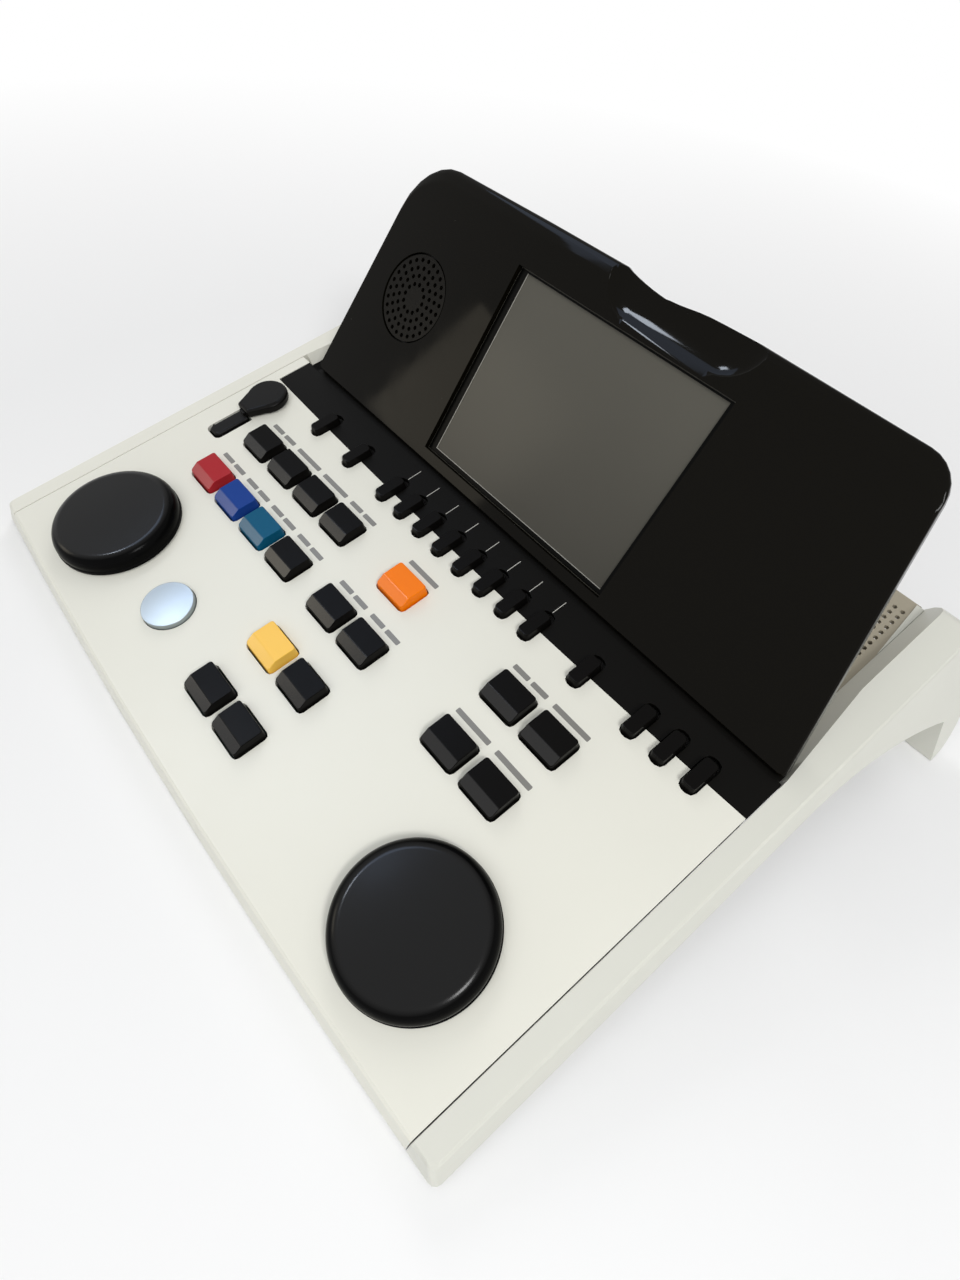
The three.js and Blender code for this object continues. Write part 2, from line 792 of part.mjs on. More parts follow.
// The face's top edge rolls back in an arc, and its other edges have a small bevel.
function lidFront() {
  const roll = Array.from({ length: lidRollSteps + 1 }, (_, i) => {
    const angle = (Math.PI / 2) * (i / lidRollSteps);
    const z = -lidRollDepth * (1 - Math.sin(angle));
    return lidRing(Math.max(0, lidEdgeBevel + z), z, lidRollWidth * (1 - Math.cos(angle)));
  });
  const solid = loft([lidRing(0, -lidFrontThickness), ...roll]);
  return cut(
    solid, lidScoop(), lidNotch(), screenBox(0, -lidFrontThickness - overrun, overrun),
    screenBox(screenFrame, -lidFrontThickness - overrun, -screenRecess),
    grilleDisc(grilleRadius + grilleGroove, 48, -grilleThickness - grilleGroove, overrun),
  );
}

function lidBack() {
  const solid = loft([
    lidRing(lidBackInset + lidBackDraft, lidBackBottom), lidRing(lidBackInset, lidBackTop),
  ]);
  const barrels = barrelPlaces.flatMap((x) => {
    const x0 = x - barrelLength / 2;
    const x1 = x + barrelLength / 2;
    return [
      rodAcross(barrelRadius, x0, x1, -hingeDrop, -hingeDepth, 20),
      box(x0, x1, -hingeDrop, barrelWebLength, -hingeDepth - barrelRadius, lidBackTop - seatGap),
    ];
  });
  const bores = barrelPlaces.map((x) => rodAcross(
    rodRadius + pivotGap, x - barrelLength, x + barrelLength, -hingeDrop, -hingeDepth, 16,
  ));
  return cut(fuse(solid, ...barrels), lidNotch(), ...bores);
}

function lcdPanel() {
  const inset = seatGap - screenFrame;
  return screenBox(-inset, -lidFrontThickness, -screenRecess - seatGap);
}

function speakerGrille() {
  const disc = grilleDisc(grilleRadius, 48, -grilleThickness, -grilleGroove / 2);
  const holes = grilleRingShares.flatMap((share, ring) => (
    circle(grilleRadius * share, grilleRingHoles[ring], grilleX, grilleLift)
      .map(([x, y]) => turned([
        [grilleHoleRadius, -grilleThickness - overrun], [grilleHoleRadius, overrun],
      ], 6, x, y))
  ));
  return cut(disc, ...holes);
}

// The fixed half of each hinge: a rod held by a lug at each end, standing on a foot.
const baseTop = -wellDepth - wellFloorThickness - seatGap;

function hingeMount() {
  const half = barrelLength / 2 + seatGap;
  const end = half + lugLength;
  const footBottom = baseTop + seatGap;
  const front = hinge.y - lugRadius;
  const rear = hinge.y + lugRadius;
  const lugs = [[-end, -half], [half, end]].flatMap(([x0, x1]) => [
    box(x0, x1, front, rear, footBottom, hinge.z),
    rodAcross(lugRadius, x0, x1, hinge.y, hinge.z, 20),
  ]);
  const foot = box(-end, end, front, rear, footBottom, footBottom + hingeFootThickness);
  const rod = rodAcross(rodRadius, -half - overrun, half + overrun, hinge.y, hinge.z, 16);
  return fuse(rod, foot, ...lugs);
}

// Sunken tray behind the keys, under the closed lid
function rearWell() {
  const low = -wellDepth - wellFloorThickness;
  const half = railInner - wellInset + wellWallDraft * low - shutLine;
  const rear = deckDepth + rearBulge - overrun;
  const floor = box(-half, half, wellStart, rear, low, -wellDepth);
  const lip = box(-half, half, rear - wellLipThickness, rear, -wellDepth - wellLipDrop,
    low + overlap);
  const vents = [-1, 1].flatMap((side) => Array.from({ length: ventColumns * ventRows }, (_, i) => {
    const x = side * (half - ventSideEdge - ventPitch * (i % ventColumns));
    const y = rear - ventRearEdge - ventPitch * Math.floor(i / ventColumns);
    return turned([[ventRadius, low - overrun], [ventRadius, -wellDepth + overrun]], 6, x, y);
  }));
  return cut(fuse(floor, lip), ...vents);
}

// Base, board, rear panel and feet
const baseHalf = halfDeck - baseInset;
const boardTop = flangeTop - keyFlangeThickness - keyTravel - boardClearance;
const boardBottom = boardTop - boardThickness;
const baseFrontTop = boardBottom - seatGap;

function worldOf(y, z) {
  return {
    y: deckFrontY + y * Math.cos(deckSlope) - z * Math.sin(deckSlope),
    z: deckLift + y * Math.sin(deckSlope) + z * Math.cos(deckSlope),
  };
}

const baseRearEdge = worldOf(deckDepth - baseRearInset, baseTop);
const baseRear = baseRearEdge.y;
const footRows = [
  worldOf(baseFrontInset + footInset, 0).y, baseRear - footInset,
];
const jackBarDepth = jackLength * 2;
const panelHalf = baseHalf - panelSideInset;
const panelTop = baseRearEdge.z - panelTopMargin;
const jackZ = (panelLift + panelTop) / 2;
const jackFirst = jackSideMargin - panelHalf;
const jacks = Array.from({ length: jackCount }, (_, i) => jackFirst + jackPitch * i);
const usbX = jackFirst + jackPitch * jackCount;
const inletX = usbX + jackPitch;

function alongY(radius, y0, y1, x, z, segments) {
  const geometry = turned([[radius, y0], [radius, y1]], segments);
  geometry.rotateX(-Math.PI / 2);
  geometry.translate(x, 0, z);
  return geometry;
}

function footPlaces() {
  const side = baseHalf - footInset;
  return footRows.flatMap((y) => [[-side, y], [side, y]]);
}

function baseTray() {
  const rear = caseRear + overrun;
  const stepY = stripFront;
  const wedge = across([
    [baseFrontInset, baseFrontTop], [stepY, baseFrontTop], [stepY, baseTop], [rear, baseTop],
    [rear, -caseSide], [baseFrontInset, -caseSide],
  ], -baseHalf, baseHalf);
  const space = box(-caseSide, caseSide, -caseSide, baseRear, footHeight, caseSide);
  const pockets = footPlaces().map(([x, y]) => turned([
    [footRadius + seatGap, footHeight - overrun],
    [footRadius + seatGap, footHeight + footPocket + seatGap],
  ], 28, x, y));
  const bar = box(jackFirst - jackPitch, inletX + jackPitch, baseRear - jackBarDepth - seatGap,
    baseRear + overrun, jackZ - usbHeight, jackZ + usbHeight);
  wedge.rotateX(deckSlope);
  wedge.translate(0, deckFrontY, deckLift);
  return cut(common(wedge, space), bar, ...pockets);
}

function rearPanel() {
  const y0 = baseRear + seatGap;
  const y1 = y0 + panelThickness;
  const plate = box(-panelHalf, panelHalf, y0, y1, panelLift, panelTop);
  const holes = jacks.map((x) => alongY(jackRadius + seatGap, y0 - overrun, y1 + overrun, x, jackZ,
    16));
  const usb = box(usbX - usbWidth / 2 - seatGap, usbX + usbWidth / 2 + seatGap, y0 - overrun,
    y1 + overrun, jackZ - usbHeight / 2 - seatGap, jackZ + usbHeight / 2 + seatGap);
  const inlet = alongY(inletRadius + seatGap, y0 - overrun, y1 + overrun, inletX, jackZ, 24);
  return cut(plate, ...holes, usb, inlet);
}

function jackRow() {
  const back = baseRear - jackBarDepth;
  const face = baseRear + panelThickness + seatGap + jackLip;
  const bar = box(jackFirst - jackRadius - overrun, jacks.at(-1) + jackRadius + overrun, back,
    baseRear, jackZ - jackRadius - overrun, jackZ + jackRadius + overrun);
  const sleeves = jacks.map((x) => alongY(jackRadius, baseRear - overrun, face, x, jackZ, 16));
  const bores = jacks.map((x) => alongY(jackBoreRadius, back + overrun, face + overrun, x, jackZ,
    10));
  return cut(fuse(bar, ...sleeves), ...bores);
}

function usbPort() {
  const face = baseRear + panelThickness + seatGap + jackLip;
  const shell = box(usbX - usbWidth / 2, usbX + usbWidth / 2, baseRear - jackBarDepth, face,
    jackZ - usbHeight / 2, jackZ + usbHeight / 2);
  const mouth = box(usbX - usbWidth / 2 + overrun, usbX + usbWidth / 2 - overrun,
    baseRear - jackBarDepth + overrun, face + overrun,
    jackZ - usbHeight / 2 + overrun, jackZ + usbHeight / 2 - overrun);
  const tongueHalf = usbWidth / 4;
  const tongue = box(usbX - tongueHalf, usbX + tongueHalf, baseRear - jackBarDepth + overrun / 2,
    face - overrun, jackZ - usbHeight / 8, jackZ + usbHeight / 8);
  return fuse(cut(shell, mouth), tongue);
}

function powerInlet() {
  const back = baseRear - jackBarDepth;
  const face = baseRear + panelThickness + seatGap + jackLip;
  const sleeve = alongY(inletRadius, back, face, inletX, jackZ, 24);
  const bore = alongY(inletRadius - overrun, back + overrun, face + overrun, inletX, jackZ, 20);
  const pin = alongY(inletPinRadius, back + overrun / 2, face - overrun, inletX, jackZ, 12);
  return fuse(cut(sleeve, bore), pin);
}

function controlBoard() {
  const half = coverHalf - wallThickness - boardMargin;
  const plate = box(-half, half, baseFrontInset, stripFront - stripBow - seatGap, boardBottom,
    boardTop);
  const encoders = [dialLeftX, dialRightX].flatMap((x) => [
    box(x - encoderWidth / 2, x + encoderWidth / 2, dialRow - encoderWidth / 2,
      dialRow + encoderWidth / 2, boardTop - overlap, flangeTop),
    turned([
      [shaftRadius, flangeTop - overlap],
      [shaftRadius, -dishDepth + dialFloat + dialBoreDepth - seatGap],
    ], 20, x, dialRow),
  ]);
  const swing = box(micX - micArmWidth, micX + micArmWidth, micTipY - micArmWidth,
    micPivotY + micArmWidth, boardBottom - overrun, boardTop + overrun);
  return fuse(cut(plate, swing), ...encoders);
}

function foot() {
  return turned([
    [footRadius - footPocket, 0], [footRadius, footPocket / 2],
    [footRadius, footHeight + footPocket],
  ], 28);
}

// Finishes
function finish(color, roughness, metalness = 0) {
  return new THREE.MeshStandardMaterial({ color, roughness, metalness });
}

const ivory = finish(0xdedccf, 0.45);
const paleGrey = finish(0xdcddd8, 0.45);
const black = finish(0x101113, 0.4);
const blackGloss = finish(0x08090a, 0.12);
const charcoal = finish(0x2a2b2d, 0.6);
const screenGrey = finish(0x5f5c55, 0.25);
const silver = finish(0xc9cbcd, 0.3, 0.8);
const steel = finish(0x9a9ca0, 0.35, 1);
const rubber = finish(0x1b1b1c, 0.85);
const boardGreen = finish(0x1d5b3a, 0.6);
const keyColours = {
  key_red: finish(0xa52a30, 0.4),
  key_blue: finish(0x1a3f8f, 0.4),
  key_teal: finish(0x00607a, 0.4),
  key_orange: finish(0xf07800, 0.4),
  key_yellow: finish(0xf5c04a, 0.4),
};

// The whole object
const audiometer = new THREE.Group();
const deck = new THREE.Group();
deck.rotation.x = deckSlope;
deck.position.set(0, deckFrontY, deckLift);
audiometer.add(deck);
const lid = new THREE.Group();
lid.rotation.x = lidTilt;
lid.position.set(0, lidBaseY, lidLift);
deck.add(lid);

function place(parent, name, geometry, material, { x = 0, y = 0 } = {}) {
  const mesh = new THREE.Mesh(geometry, material);
  mesh.name = name;
  mesh.position.set(x, y, 0);
  parent.add(mesh);
}

const rail = rightRail();
place(audiometer, 'base_tray', baseTray(), charcoal);
place(audiometer, 'rear_panel', rearPanel(), charcoal);
place(audiometer, 'jack_row', jackRow(), black);
place(audiometer, 'usb_port', usbPort(), steel);
place(audiometer, 'power_inlet', powerInlet(), black);
footPlaces().forEach(([x, y], i) => place(audiometer, `foot_${i + 1}`, foot(), rubber, { x, y }));
place(deck, 'top_cover', topCover(), ivory);
place(deck, 'key_strip', keyStrip(), black);
place(deck, 'left_rail', mirrored(rail), paleGrey);
place(deck, 'right_rail', rail, paleGrey);
place(deck, 'rear_well', rearWell(), paleGrey);
place(deck, 'control_board', controlBoard(), boardGreen);
barrelPlaces.forEach((x, i) => place(deck, `hinge_mount_${i + 1}`, hingeMount(), steel, { x }));
place(lid, 'lid_front', lidFront(), blackGloss);
place(lid, 'lid_back', lidBack(), black);
place(lid, 'lcd_panel', lcdPanel(), screenGrey);
place(lid, 'speaker_grille', speakerGrille(), black);
place(deck, 'dial_left', dial(), black, { x: dialLeftX, y: dialRow });
place(deck, 'dial_right', dial(), black, { x: dialRightX, y: dialRow });
place(deck, 'push_button', silverButton(), silver, { x: buttonX, y: buttonY });
place(deck, 'mic_arm', micArm(), black);
place(deck, 'mic_head', micHead(), black);
keys.forEach(([name, column, row]) => {
  place(deck, name, largeKey(), keyColours[name] ?? black, keyPlace(column, row));
});
narrowSlots.forEach((slot, i) => {
  place(deck, `narrow_key_${i + 1}`, narrowKey(), black, narrowPlace(slot));
});

// The origin lies midway between the front and rear ends, on the table.
const bounds = new THREE.Box3().setFromObject(audiometer, true);
audiometer.position.y = -(bounds.min.y + bounds.max.y) / 2;

export default audiometer;
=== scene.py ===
"""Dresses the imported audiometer: finishes, fine shapes, a plain studio and the camera."""

import logging
import math
from dataclasses import dataclass, field, replace
from enum import Enum
from typing import Callable, Sequence

import bmesh
import bpy
from mathutils import Matrix, Vector


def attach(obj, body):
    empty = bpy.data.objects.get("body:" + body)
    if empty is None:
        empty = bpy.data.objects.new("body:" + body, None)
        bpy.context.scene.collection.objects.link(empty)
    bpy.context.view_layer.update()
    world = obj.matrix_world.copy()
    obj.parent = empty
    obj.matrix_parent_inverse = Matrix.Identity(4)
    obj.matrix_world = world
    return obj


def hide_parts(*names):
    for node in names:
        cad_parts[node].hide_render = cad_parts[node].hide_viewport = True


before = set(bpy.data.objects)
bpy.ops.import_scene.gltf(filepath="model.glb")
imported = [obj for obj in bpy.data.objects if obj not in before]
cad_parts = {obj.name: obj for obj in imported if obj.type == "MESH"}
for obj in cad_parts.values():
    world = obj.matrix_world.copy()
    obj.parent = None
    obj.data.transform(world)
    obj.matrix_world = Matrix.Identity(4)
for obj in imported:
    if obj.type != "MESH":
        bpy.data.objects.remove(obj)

logging.basicConfig(level=logging.INFO, format="%(message)s")
log = logging.getLogger("audiometer")

MM = 0.001
NEAR = 0.05
ALONG = 0.9
SHARP = math.radians(35)
CASE_BODY = "case"
LID_BODY = "lid"

Test = Callable[[Vector, Vector], bool]


class Axes(Enum):
    """The tilted planes that the pieces are drawn in, by their slope about X."""

    TABLE = 0.0
    DECK = math.radians(11)
    LID = math.radians(57.5)

    @property
    def turn(self) -> Matrix:
        """The turn from this plane's axes to the table's."""
        return Matrix.Rotation(self.value, 4, "X")


class Socket:
    """A shader socket or a number, with the arithmetic of Math nodes."""

    def __init__(self, tree: "Tree", link: object) -> None:
        """Keeps the tree that owns the nodes and the socket that carries the value."""
        self.tree = tree
        self.link = link

    def _math(self, operation: str, first: object, second: object) -> "Socket":
        """One Math node.

        Args:
            operation: The node's operation.
            first: The first value or socket.
            second: The second value or socket.

        Returns:
            The node's result.
        """
        node = self.tree.node("ShaderNodeMath", {"operation": operation}, {0: first, 1: second})
        return Socket(self.tree, node.outputs[0])

    def __add__(self, other: object) -> "Socket":
        """This value plus the other."""
        return self._math("ADD", self, other)

    def __radd__(self, other: object) -> "Socket":
        """The other value plus this."""
        return self._math("ADD", other, self)

    def __sub__(self, other: object) -> "Socket":
        """This value less the other."""
        return self._math("SUBTRACT", self, other)

    def __rsub__(self, other: object) -> "Socket":
        """The other value less this."""
        return self._math("SUBTRACT", other, self)

    def __mul__(self, other: object) -> "Socket":
        """This value times the other."""
        return self._math("MULTIPLY", self, other)

    def __rmul__(self, other: object) -> "Socket":
        """The other value times this."""
        return self._math("MULTIPLY", other, self)

    def __lt__(self, other: object) -> "Socket":
        """One where this value is below the other."""
        return self._math("LESS_THAN", self, other)

    def __gt__(self, other: object) -> "Socket":
        """One where this value is above the other."""
        return self._math("GREATER_THAN", self, other)

    def __or__(self, other: object) -> "Socket":
        """The larger of two values."""
        return self._math("MAXIMUM", self, other)


class Tree:
    """A tree of shader nodes, which all come from one method."""

    def __init__(self, tree: bpy.types.NodeTree) -> None:
        """Takes a tree and empties it."""
        self.tree = tree
        self.tree.nodes.clear()

    def node(self, kind: str, settings: dict | None = None, inputs: dict | None = None) -> bpy.types.Node:
        """Adds one node.

        Args:
            kind: The node's type.
            settings: Settings of the node, set before its sockets.
            inputs: Values, sockets or wrapped sockets for its inputs, by name or number.

        Returns:
            The new node.
        """
        node = self.tree.nodes.new(kind)
        for key, value in (settings or {}).items():
            setattr(node, key, value)
        for key, value in (inputs or {}).items():
            self.feed(node.inputs[key], value)
        return node

    def feed(self, socket: bpy.types.NodeSocket, value: object) -> None:
        """Sets or links one input.

        Args:
            socket: The input.
            value: A plain value, a socket or a wrapped socket.
        """
        value = value.link if isinstance(value, Socket) else value
        if isinstance(value, bpy.types.NodeSocket):
            self.tree.links.new(value, socket)
        else:
            socket.default_value = value

    def value(self, kind: str, output: str, settings: dict | None = None,
              inputs: dict | None = None) -> Socket:
        """Adds one node and wraps one of its outputs.

        Args:
            kind: The node's type.
            output: The output's name.
            settings: Settings of the node.
            inputs: Values or sockets for its inputs.

        Returns:
            The wrapped output.
        """
        return Socket(self, self.node(kind, settings, inputs).outputs[output])

    def seen(self) -> Socket:
        """One for rays that show the surround: from the camera, mirrored or through glass."""
        path = self.node("ShaderNodeLightPath")
        camera, gloss, through = (
            Socket(self, path.outputs[name])
            for name in ("Is Camera Ray", "Is Glossy Ray", "Is Transmission Ray"))
        return camera | gloss | through


class Shader(Tree):
    """One material's nodes round a Principled shader."""

    def __init__(self, name: str) -> None:
        """Makes an empty material with its shader and output.

        Args:
            name: The material's name.
        """
        self.material = bpy.data.materials.new(name)
        self.material.use_nodes = True
        super().__init__(self.material.node_tree)
        self.surface = self.node("ShaderNodeBsdfPrincipled")
        self.output = self.node("ShaderNodeOutputMaterial", {}, {"Surface": self.surface.outputs[0]})

    def place(self, scale: Sequence[float] = (1, 1, 1)) -> Socket:
        """Object coordinates, scaled.

        Args:
            scale: The scale of each axis.

        Returns:
            The coordinates.
        """
        coordinates = self.value("ShaderNodeTexCoord", "Object")
        return self.value("ShaderNodeMapping", "Vector", {}, {"Vector": coordinates, "Scale": scale})

    def noise(self, size: float, detail: float, vector: Socket | None = None) -> Socket:
        """Noise whose grain is about size across.

        Args:
            size: The grain's width in metres.
            detail: The number of octaves.
            vector: The coordinates, or the piece's own.

        Returns:
            The noise from 0 to 1.
        """
        return self.value("ShaderNodeTexNoise", "Fac", {}, {
            "Vector": vector or self.place(), "Scale": 1 / size, "Detail": detail})

    def specks(self, spacing: float, size: float, share: float) -> Socket:
        """Small round specks, at random places.

        Args:
            spacing: The width of the cell that holds at most one speck, in metres.
            size: A speck's radius as a share of its cell.
            share: The share of cells that have one.

        Returns:
            One on a speck and zero elsewhere.
        """
        cells = self.node("ShaderNodeTexVoronoi", {}, {"Vector": self.place(), "Scale": 1 / spacing})
        near = Socket(self, cells.outputs["Distance"]) < size
        return near * (Socket(self, cells.outputs["Color"]) > 1 - share)

    def facing(self, direction: Sequence[float], start: float, end: float) -> Socket:
        """How far a surface looks along a direction.

        Args:
            direction: The unit direction.
            start: The cosine at which the result leaves zero.
            end: The cosine at which it reaches one.

        Returns:
            The share from 0 to 1.
        """
        normal = self.value("ShaderNodeNewGeometry", "Normal")
        along = self.value("ShaderNodeVectorMath", "Value", {"operation": "DOT_PRODUCT"}, {
            0: normal, 1: direction})
        return self.value("ShaderNodeMapRange", "Result", {}, {
            "Value": along, "From Min": start, "From Max": end})

    def mix(self, factor: object, first: object, second: object) -> Socket:
        """A mix of two colours.

        Args:
            factor: The share of the second colour.
            first: The first colour or socket.
            second: The second colour or socket.

        Returns:
            The mixed colour.
        """
        node = self.node("ShaderNodeMix", {"data_type": "RGBA"}, {0: factor, 6: first, 7: second})
        return Socket(self, node.outputs[2])

    def set(self, **values: object) -> None:
        """Sets the shader's sockets; an underscore in a name stands for a space."""
        for key, value in values.items():
            self.feed(self.surface.inputs[key.replace("_", " ")], value)

    def bump(self, height: object, depth: float) -> None:
        """Raises the surface by a height that varies from 0 to 1.

        Args:
            height: The height's socket.
            depth: The depth of a full height, in metres.
        """
        node = self.node("ShaderNodeBump", {}, {"Height": height, "Distance": depth, "Strength": 1.0})
        self.feed(self.surface.inputs["Normal"], node.outputs[0])


def linear(red: int, green: int, blue: int) -> tuple[float, float, float]:
    """A colour of 0 to 255 as linear light.

    Args:
        red: The red part.
        green: The green part.
        blue: The blue part.

    Returns:
        The linear colour.
    """
    def part(value: int) -> float:
        """One channel as linear light."""
        share = value / 255
        return share / 12.92 if share <= 0.04045 else ((share + 0.055) / 1.055) ** 2.4
    return part(red), part(green), part(blue)


def tone(colour: Sequence[float], share: float = 1.0) -> tuple[float, float, float, float]:
    """A linear colour made lighter or darker, with full alpha.

    Args:
        colour: The linear colour.
        share: The factor on it.

    Returns:
        The four channels.
    """
    red, green, blue = (min(1.0, part * share) for part in colour)
    return red, green, blue, 1.0


@dataclass(frozen=True)
class Plastic:
    """Moulded plastic with a spark-eroded grain, a little uneven in tone and polish.

    Faces whose slope from level is polish_slope, in degrees, toward the front are polished.
    """

    name: str
    colour: tuple[int, int, int]
    roughness: float = 0.45
    specular: float = 0.5
    grain: float = 0.35 * MM
    relief: float = 0.012 * MM
    mottle: float = 0.03
    rub: float = 0.1
    polish: float = 0.0
    polish_slope: float = 0.0
    polish_spread: tuple[float, float] = (0.95, 0.995)
    polish_roughness: float = 0.24

    def material(self) -> bpy.types.Material:
        """Builds the finish.

        Returns:
            The material.
        """
        shader = Shader(self.name)
        base = linear(*self.colour)
        cloud = shader.noise(40 * MM, 3.0)
        grain = shader.noise(self.grain, 1.0)
        touch = shader.noise(7 * MM, 3.0)
        shader.set(
            Base_Color=shader.mix(cloud, tone(base, 1 - self.mottle), tone(base, 1 + self.mottle)),
            Roughness=self.roughness + self.rub * (touch - 0.5) + 0.04 * (grain - 0.5),
            Specular_IOR_Level=self.specular,
        )
        if self.polish > 0:
            slope = math.radians(self.polish_slope)
            toward = (0.0, -math.sin(slope), math.cos(slope))
            facing = shader.facing(toward, *self.polish_spread)
            shader.set(Coat_Weight=self.polish * facing, Coat_Roughness=self.polish_roughness)
        shader.bump(grain, self.relief)
        return shader.material


@dataclass(frozen=True)
class Gloss:
    """Polished plastic with faint ripple, finger smears and dust."""

    name: str
    colour: tuple[int, int, int]
    dust: tuple[int, int, int] = (112, 110, 104)
    roughness: float = 0.04
    specular: float = 0.3
    ripple: float = 26 * MM
    relief: float = 0.01 * MM

    def material(self) -> bpy.types.Material:
        """Builds the finish.

        Returns:
            The material.
        """
        shader = Shader(self.name)
        base = linear(*self.colour)
        smear = shader.noise(16 * MM, 4.0)
        specks = shader.specks(7 * MM, 0.035, 0.35)
        shader.set(
            Base_Color=shader.mix(specks * 0.5, tone(base), tone(linear(*self.dust))),
            Roughness=self.roughness + 0.1 * smear * smear + 0.3 * specks,
            Specular_IOR_Level=self.specular,
        )
        shader.bump(shader.noise(self.ripple, 1.0), self.relief)
        return shader.material


@dataclass(frozen=True)
class Metal:
    """Satin metal with fine blasted grain or brushed lines."""

    name: str
    colour: tuple[int, int, int]
    roughness: float = 0.28
    grain: tuple[float, float, float] = (3000.0, 3000.0, 3000.0)
    relief: float = 0.004 * MM

    def material(self) -> bpy.types.Material:
        """Builds the finish.

        Returns:
            The material.
        """
        shader = Shader(self.name)
        base = linear(*self.colour)
        lines = shader.noise(1.0, 2.0, shader.place(self.grain))
        cloud = shader.noise(9 * MM, 2.0)
        shader.set(
            Base_Color=shader.mix(cloud, tone(base, 0.94), tone(base, 1.03)),
            Metallic=1.0,
            Roughness=self.roughness + 0.1 * (lines - 0.5),
        )
        shader.bump(lines, self.relief)
        return shader.material


@dataclass(frozen=True)
class Display:
    """A grey display that is switched off, under a smooth window, with a painted reflection that makes it
    darker low down and lighter high up.
    """

    name: str
    colour: tuple[int, int, int]
    specular: float = 0.35
    # Heights in metres over which the painted reflection goes from dark to light.
    low: float = 0.055
    high: float = 0.12

    def material(self) -> bpy.types.Material:
        """Builds the finish.

        Returns:
            The material.
        """
        shader = Shader(self.name)
        base = linear(*self.colour)
        haze = shader.noise(70 * MM, 1.0)
        dots = shader.noise(0.3 * MM, 0.0)
        specks = shader.specks(9 * MM, 0.03, 0.3)
        # Painted reflection: the grey is darker at the bottom and lighter at the top by height, mixed with
        # random haze.
        height = shader.value("ShaderNodeSeparateXYZ", "Z", {}, {0: shader.place()})
        painted_reflection_rise = shader.value("ShaderNodeMapRange", "Result", {}, {
            "Value": height, "From Min": self.low, "From Max": self.high})
        painted_reflection_tint = shader.mix(0.7 * painted_reflection_rise + 0.3 * haze, tone(base, 0.68), tone(base, 1.2))
        shader.set(
            Base_Color=shader.mix(specks * 0.4, painted_reflection_tint, tone(linear(168, 165, 158))),
            Roughness=0.16 + 0.06 * dots + 0.2 * specks,
            Specular_IOR_Level=self.specular,
        )
        shader.bump(dots, 0.001 * MM)
        return shader.material


IVORY = Plastic("ivory_moulding", (228, 227, 216), 0.4, 0.25, mottle=0.02)
PALE = Plastic("pale_moulding", (214, 214, 204), 0.4, mottle=0.02)
# The sunken plate's khaki is partly its own colour and partly painted shade from the lid above it.
WELL_KHAKI_AND_SHADE = Plastic("well_moulding_and_painted_shade", (158, 150, 132), 0.5)
LEDGE = Plastic("ledge_moulding", (214, 214, 204), 0.45)
STRIP = Plastic("satin_black_strip", (13, 12, 10), 0.42, 0.05, mottle=0.1)
KEY_BLACK = Plastic("key_black", (12, 11, 10), 0.3, 0.04, grain=0.5 * MM, mottle=0.12,
                    polish=0.7, polish_slope=40.5)
NARROW_BLACK = replace(KEY_BLACK, name="narrow_key_black", polish_slope=27.7, polish_spread=(0.975, 0.998))
MIC_BLACK = replace(KEY_BLACK, name="microphone_black", specular=0.1, polish=0.0)
KEY_COLOURS = {
    name: Plastic(name, colour, 0.32, specular, grain=0.5 * MM, polish=0.8, polish_slope=40.5)
    for name, colour, specular in (
        ("key_red", (164, 34, 40), 0.12), ("key_blue", (18, 58, 134), 0.1),
        ("key_teal", (0, 80, 112), 0.1), ("key_orange", (244, 122, 2), 0.12),
        ("key_yellow", (246, 196, 82), 0.2))}
DIAL_BLACK = Plastic("dial_black", (7, 7, 7), 0.2, 0.03, grain=0.4 * MM, mottle=0.1,
                     polish=0.38, polish_slope=11.0, polish_spread=(0.8, 0.97), polish_roughness=0.2)
CHARCOAL = Plastic("charcoal_moulding", (38, 37, 37), 0.6, 0.3, relief=0.03 * MM)
# Near-black for the hinge mounts, which paints in the shade of the gap under the lid where they sit; their
# own colour is not known.
HINGE_GAP_BLACK = Plastic("hinge_near_black", (10, 9, 9), 0.5, 0.08)
SOCKET_BLACK = Plastic("socket_black", (18, 18, 18), 0.4, 0.3)
RUBBER = Plastic("foot_rubber", (20, 20, 20), 0.85, 0.2, relief=0.02 * MM)
BOARD = Plastic("board_dark", (30, 44, 36), 0.5, 0.3)
BAR_GREY = Plastic("indicator_grey", (121, 119, 113), 0.4)
LINE_WHITE = Plastic("line_white", (176, 174, 166), 0.5)
MASK = Plastic("screen_border", (5, 5, 4), 0.3, 0.05)
# A pale grey bead that paints the highlight along two edges of the display's window.
SCREEN_EDGE_HIGHLIGHT = Plastic("screen_painted_highlight", (150, 148, 140), 0.25)
LID_GLOSS = Gloss("gloss_black", (11, 9, 5), specular=0.07)
LID_SATIN = Plastic("lid_back_black", (16, 15, 14), 0.36, 0.15)
GRILLE = Plastic("grille_black", (11, 9, 6), 0.3, 0.08)
SILVER = Metal("silver_cap", (160, 168, 172), 0.42)
STEEL = Metal("plain_steel", (170, 172, 175), 0.32, (400.0, 6000.0, 400.0))
SCREEN = Display("display_grey", (82, 80, 73), 0.12)


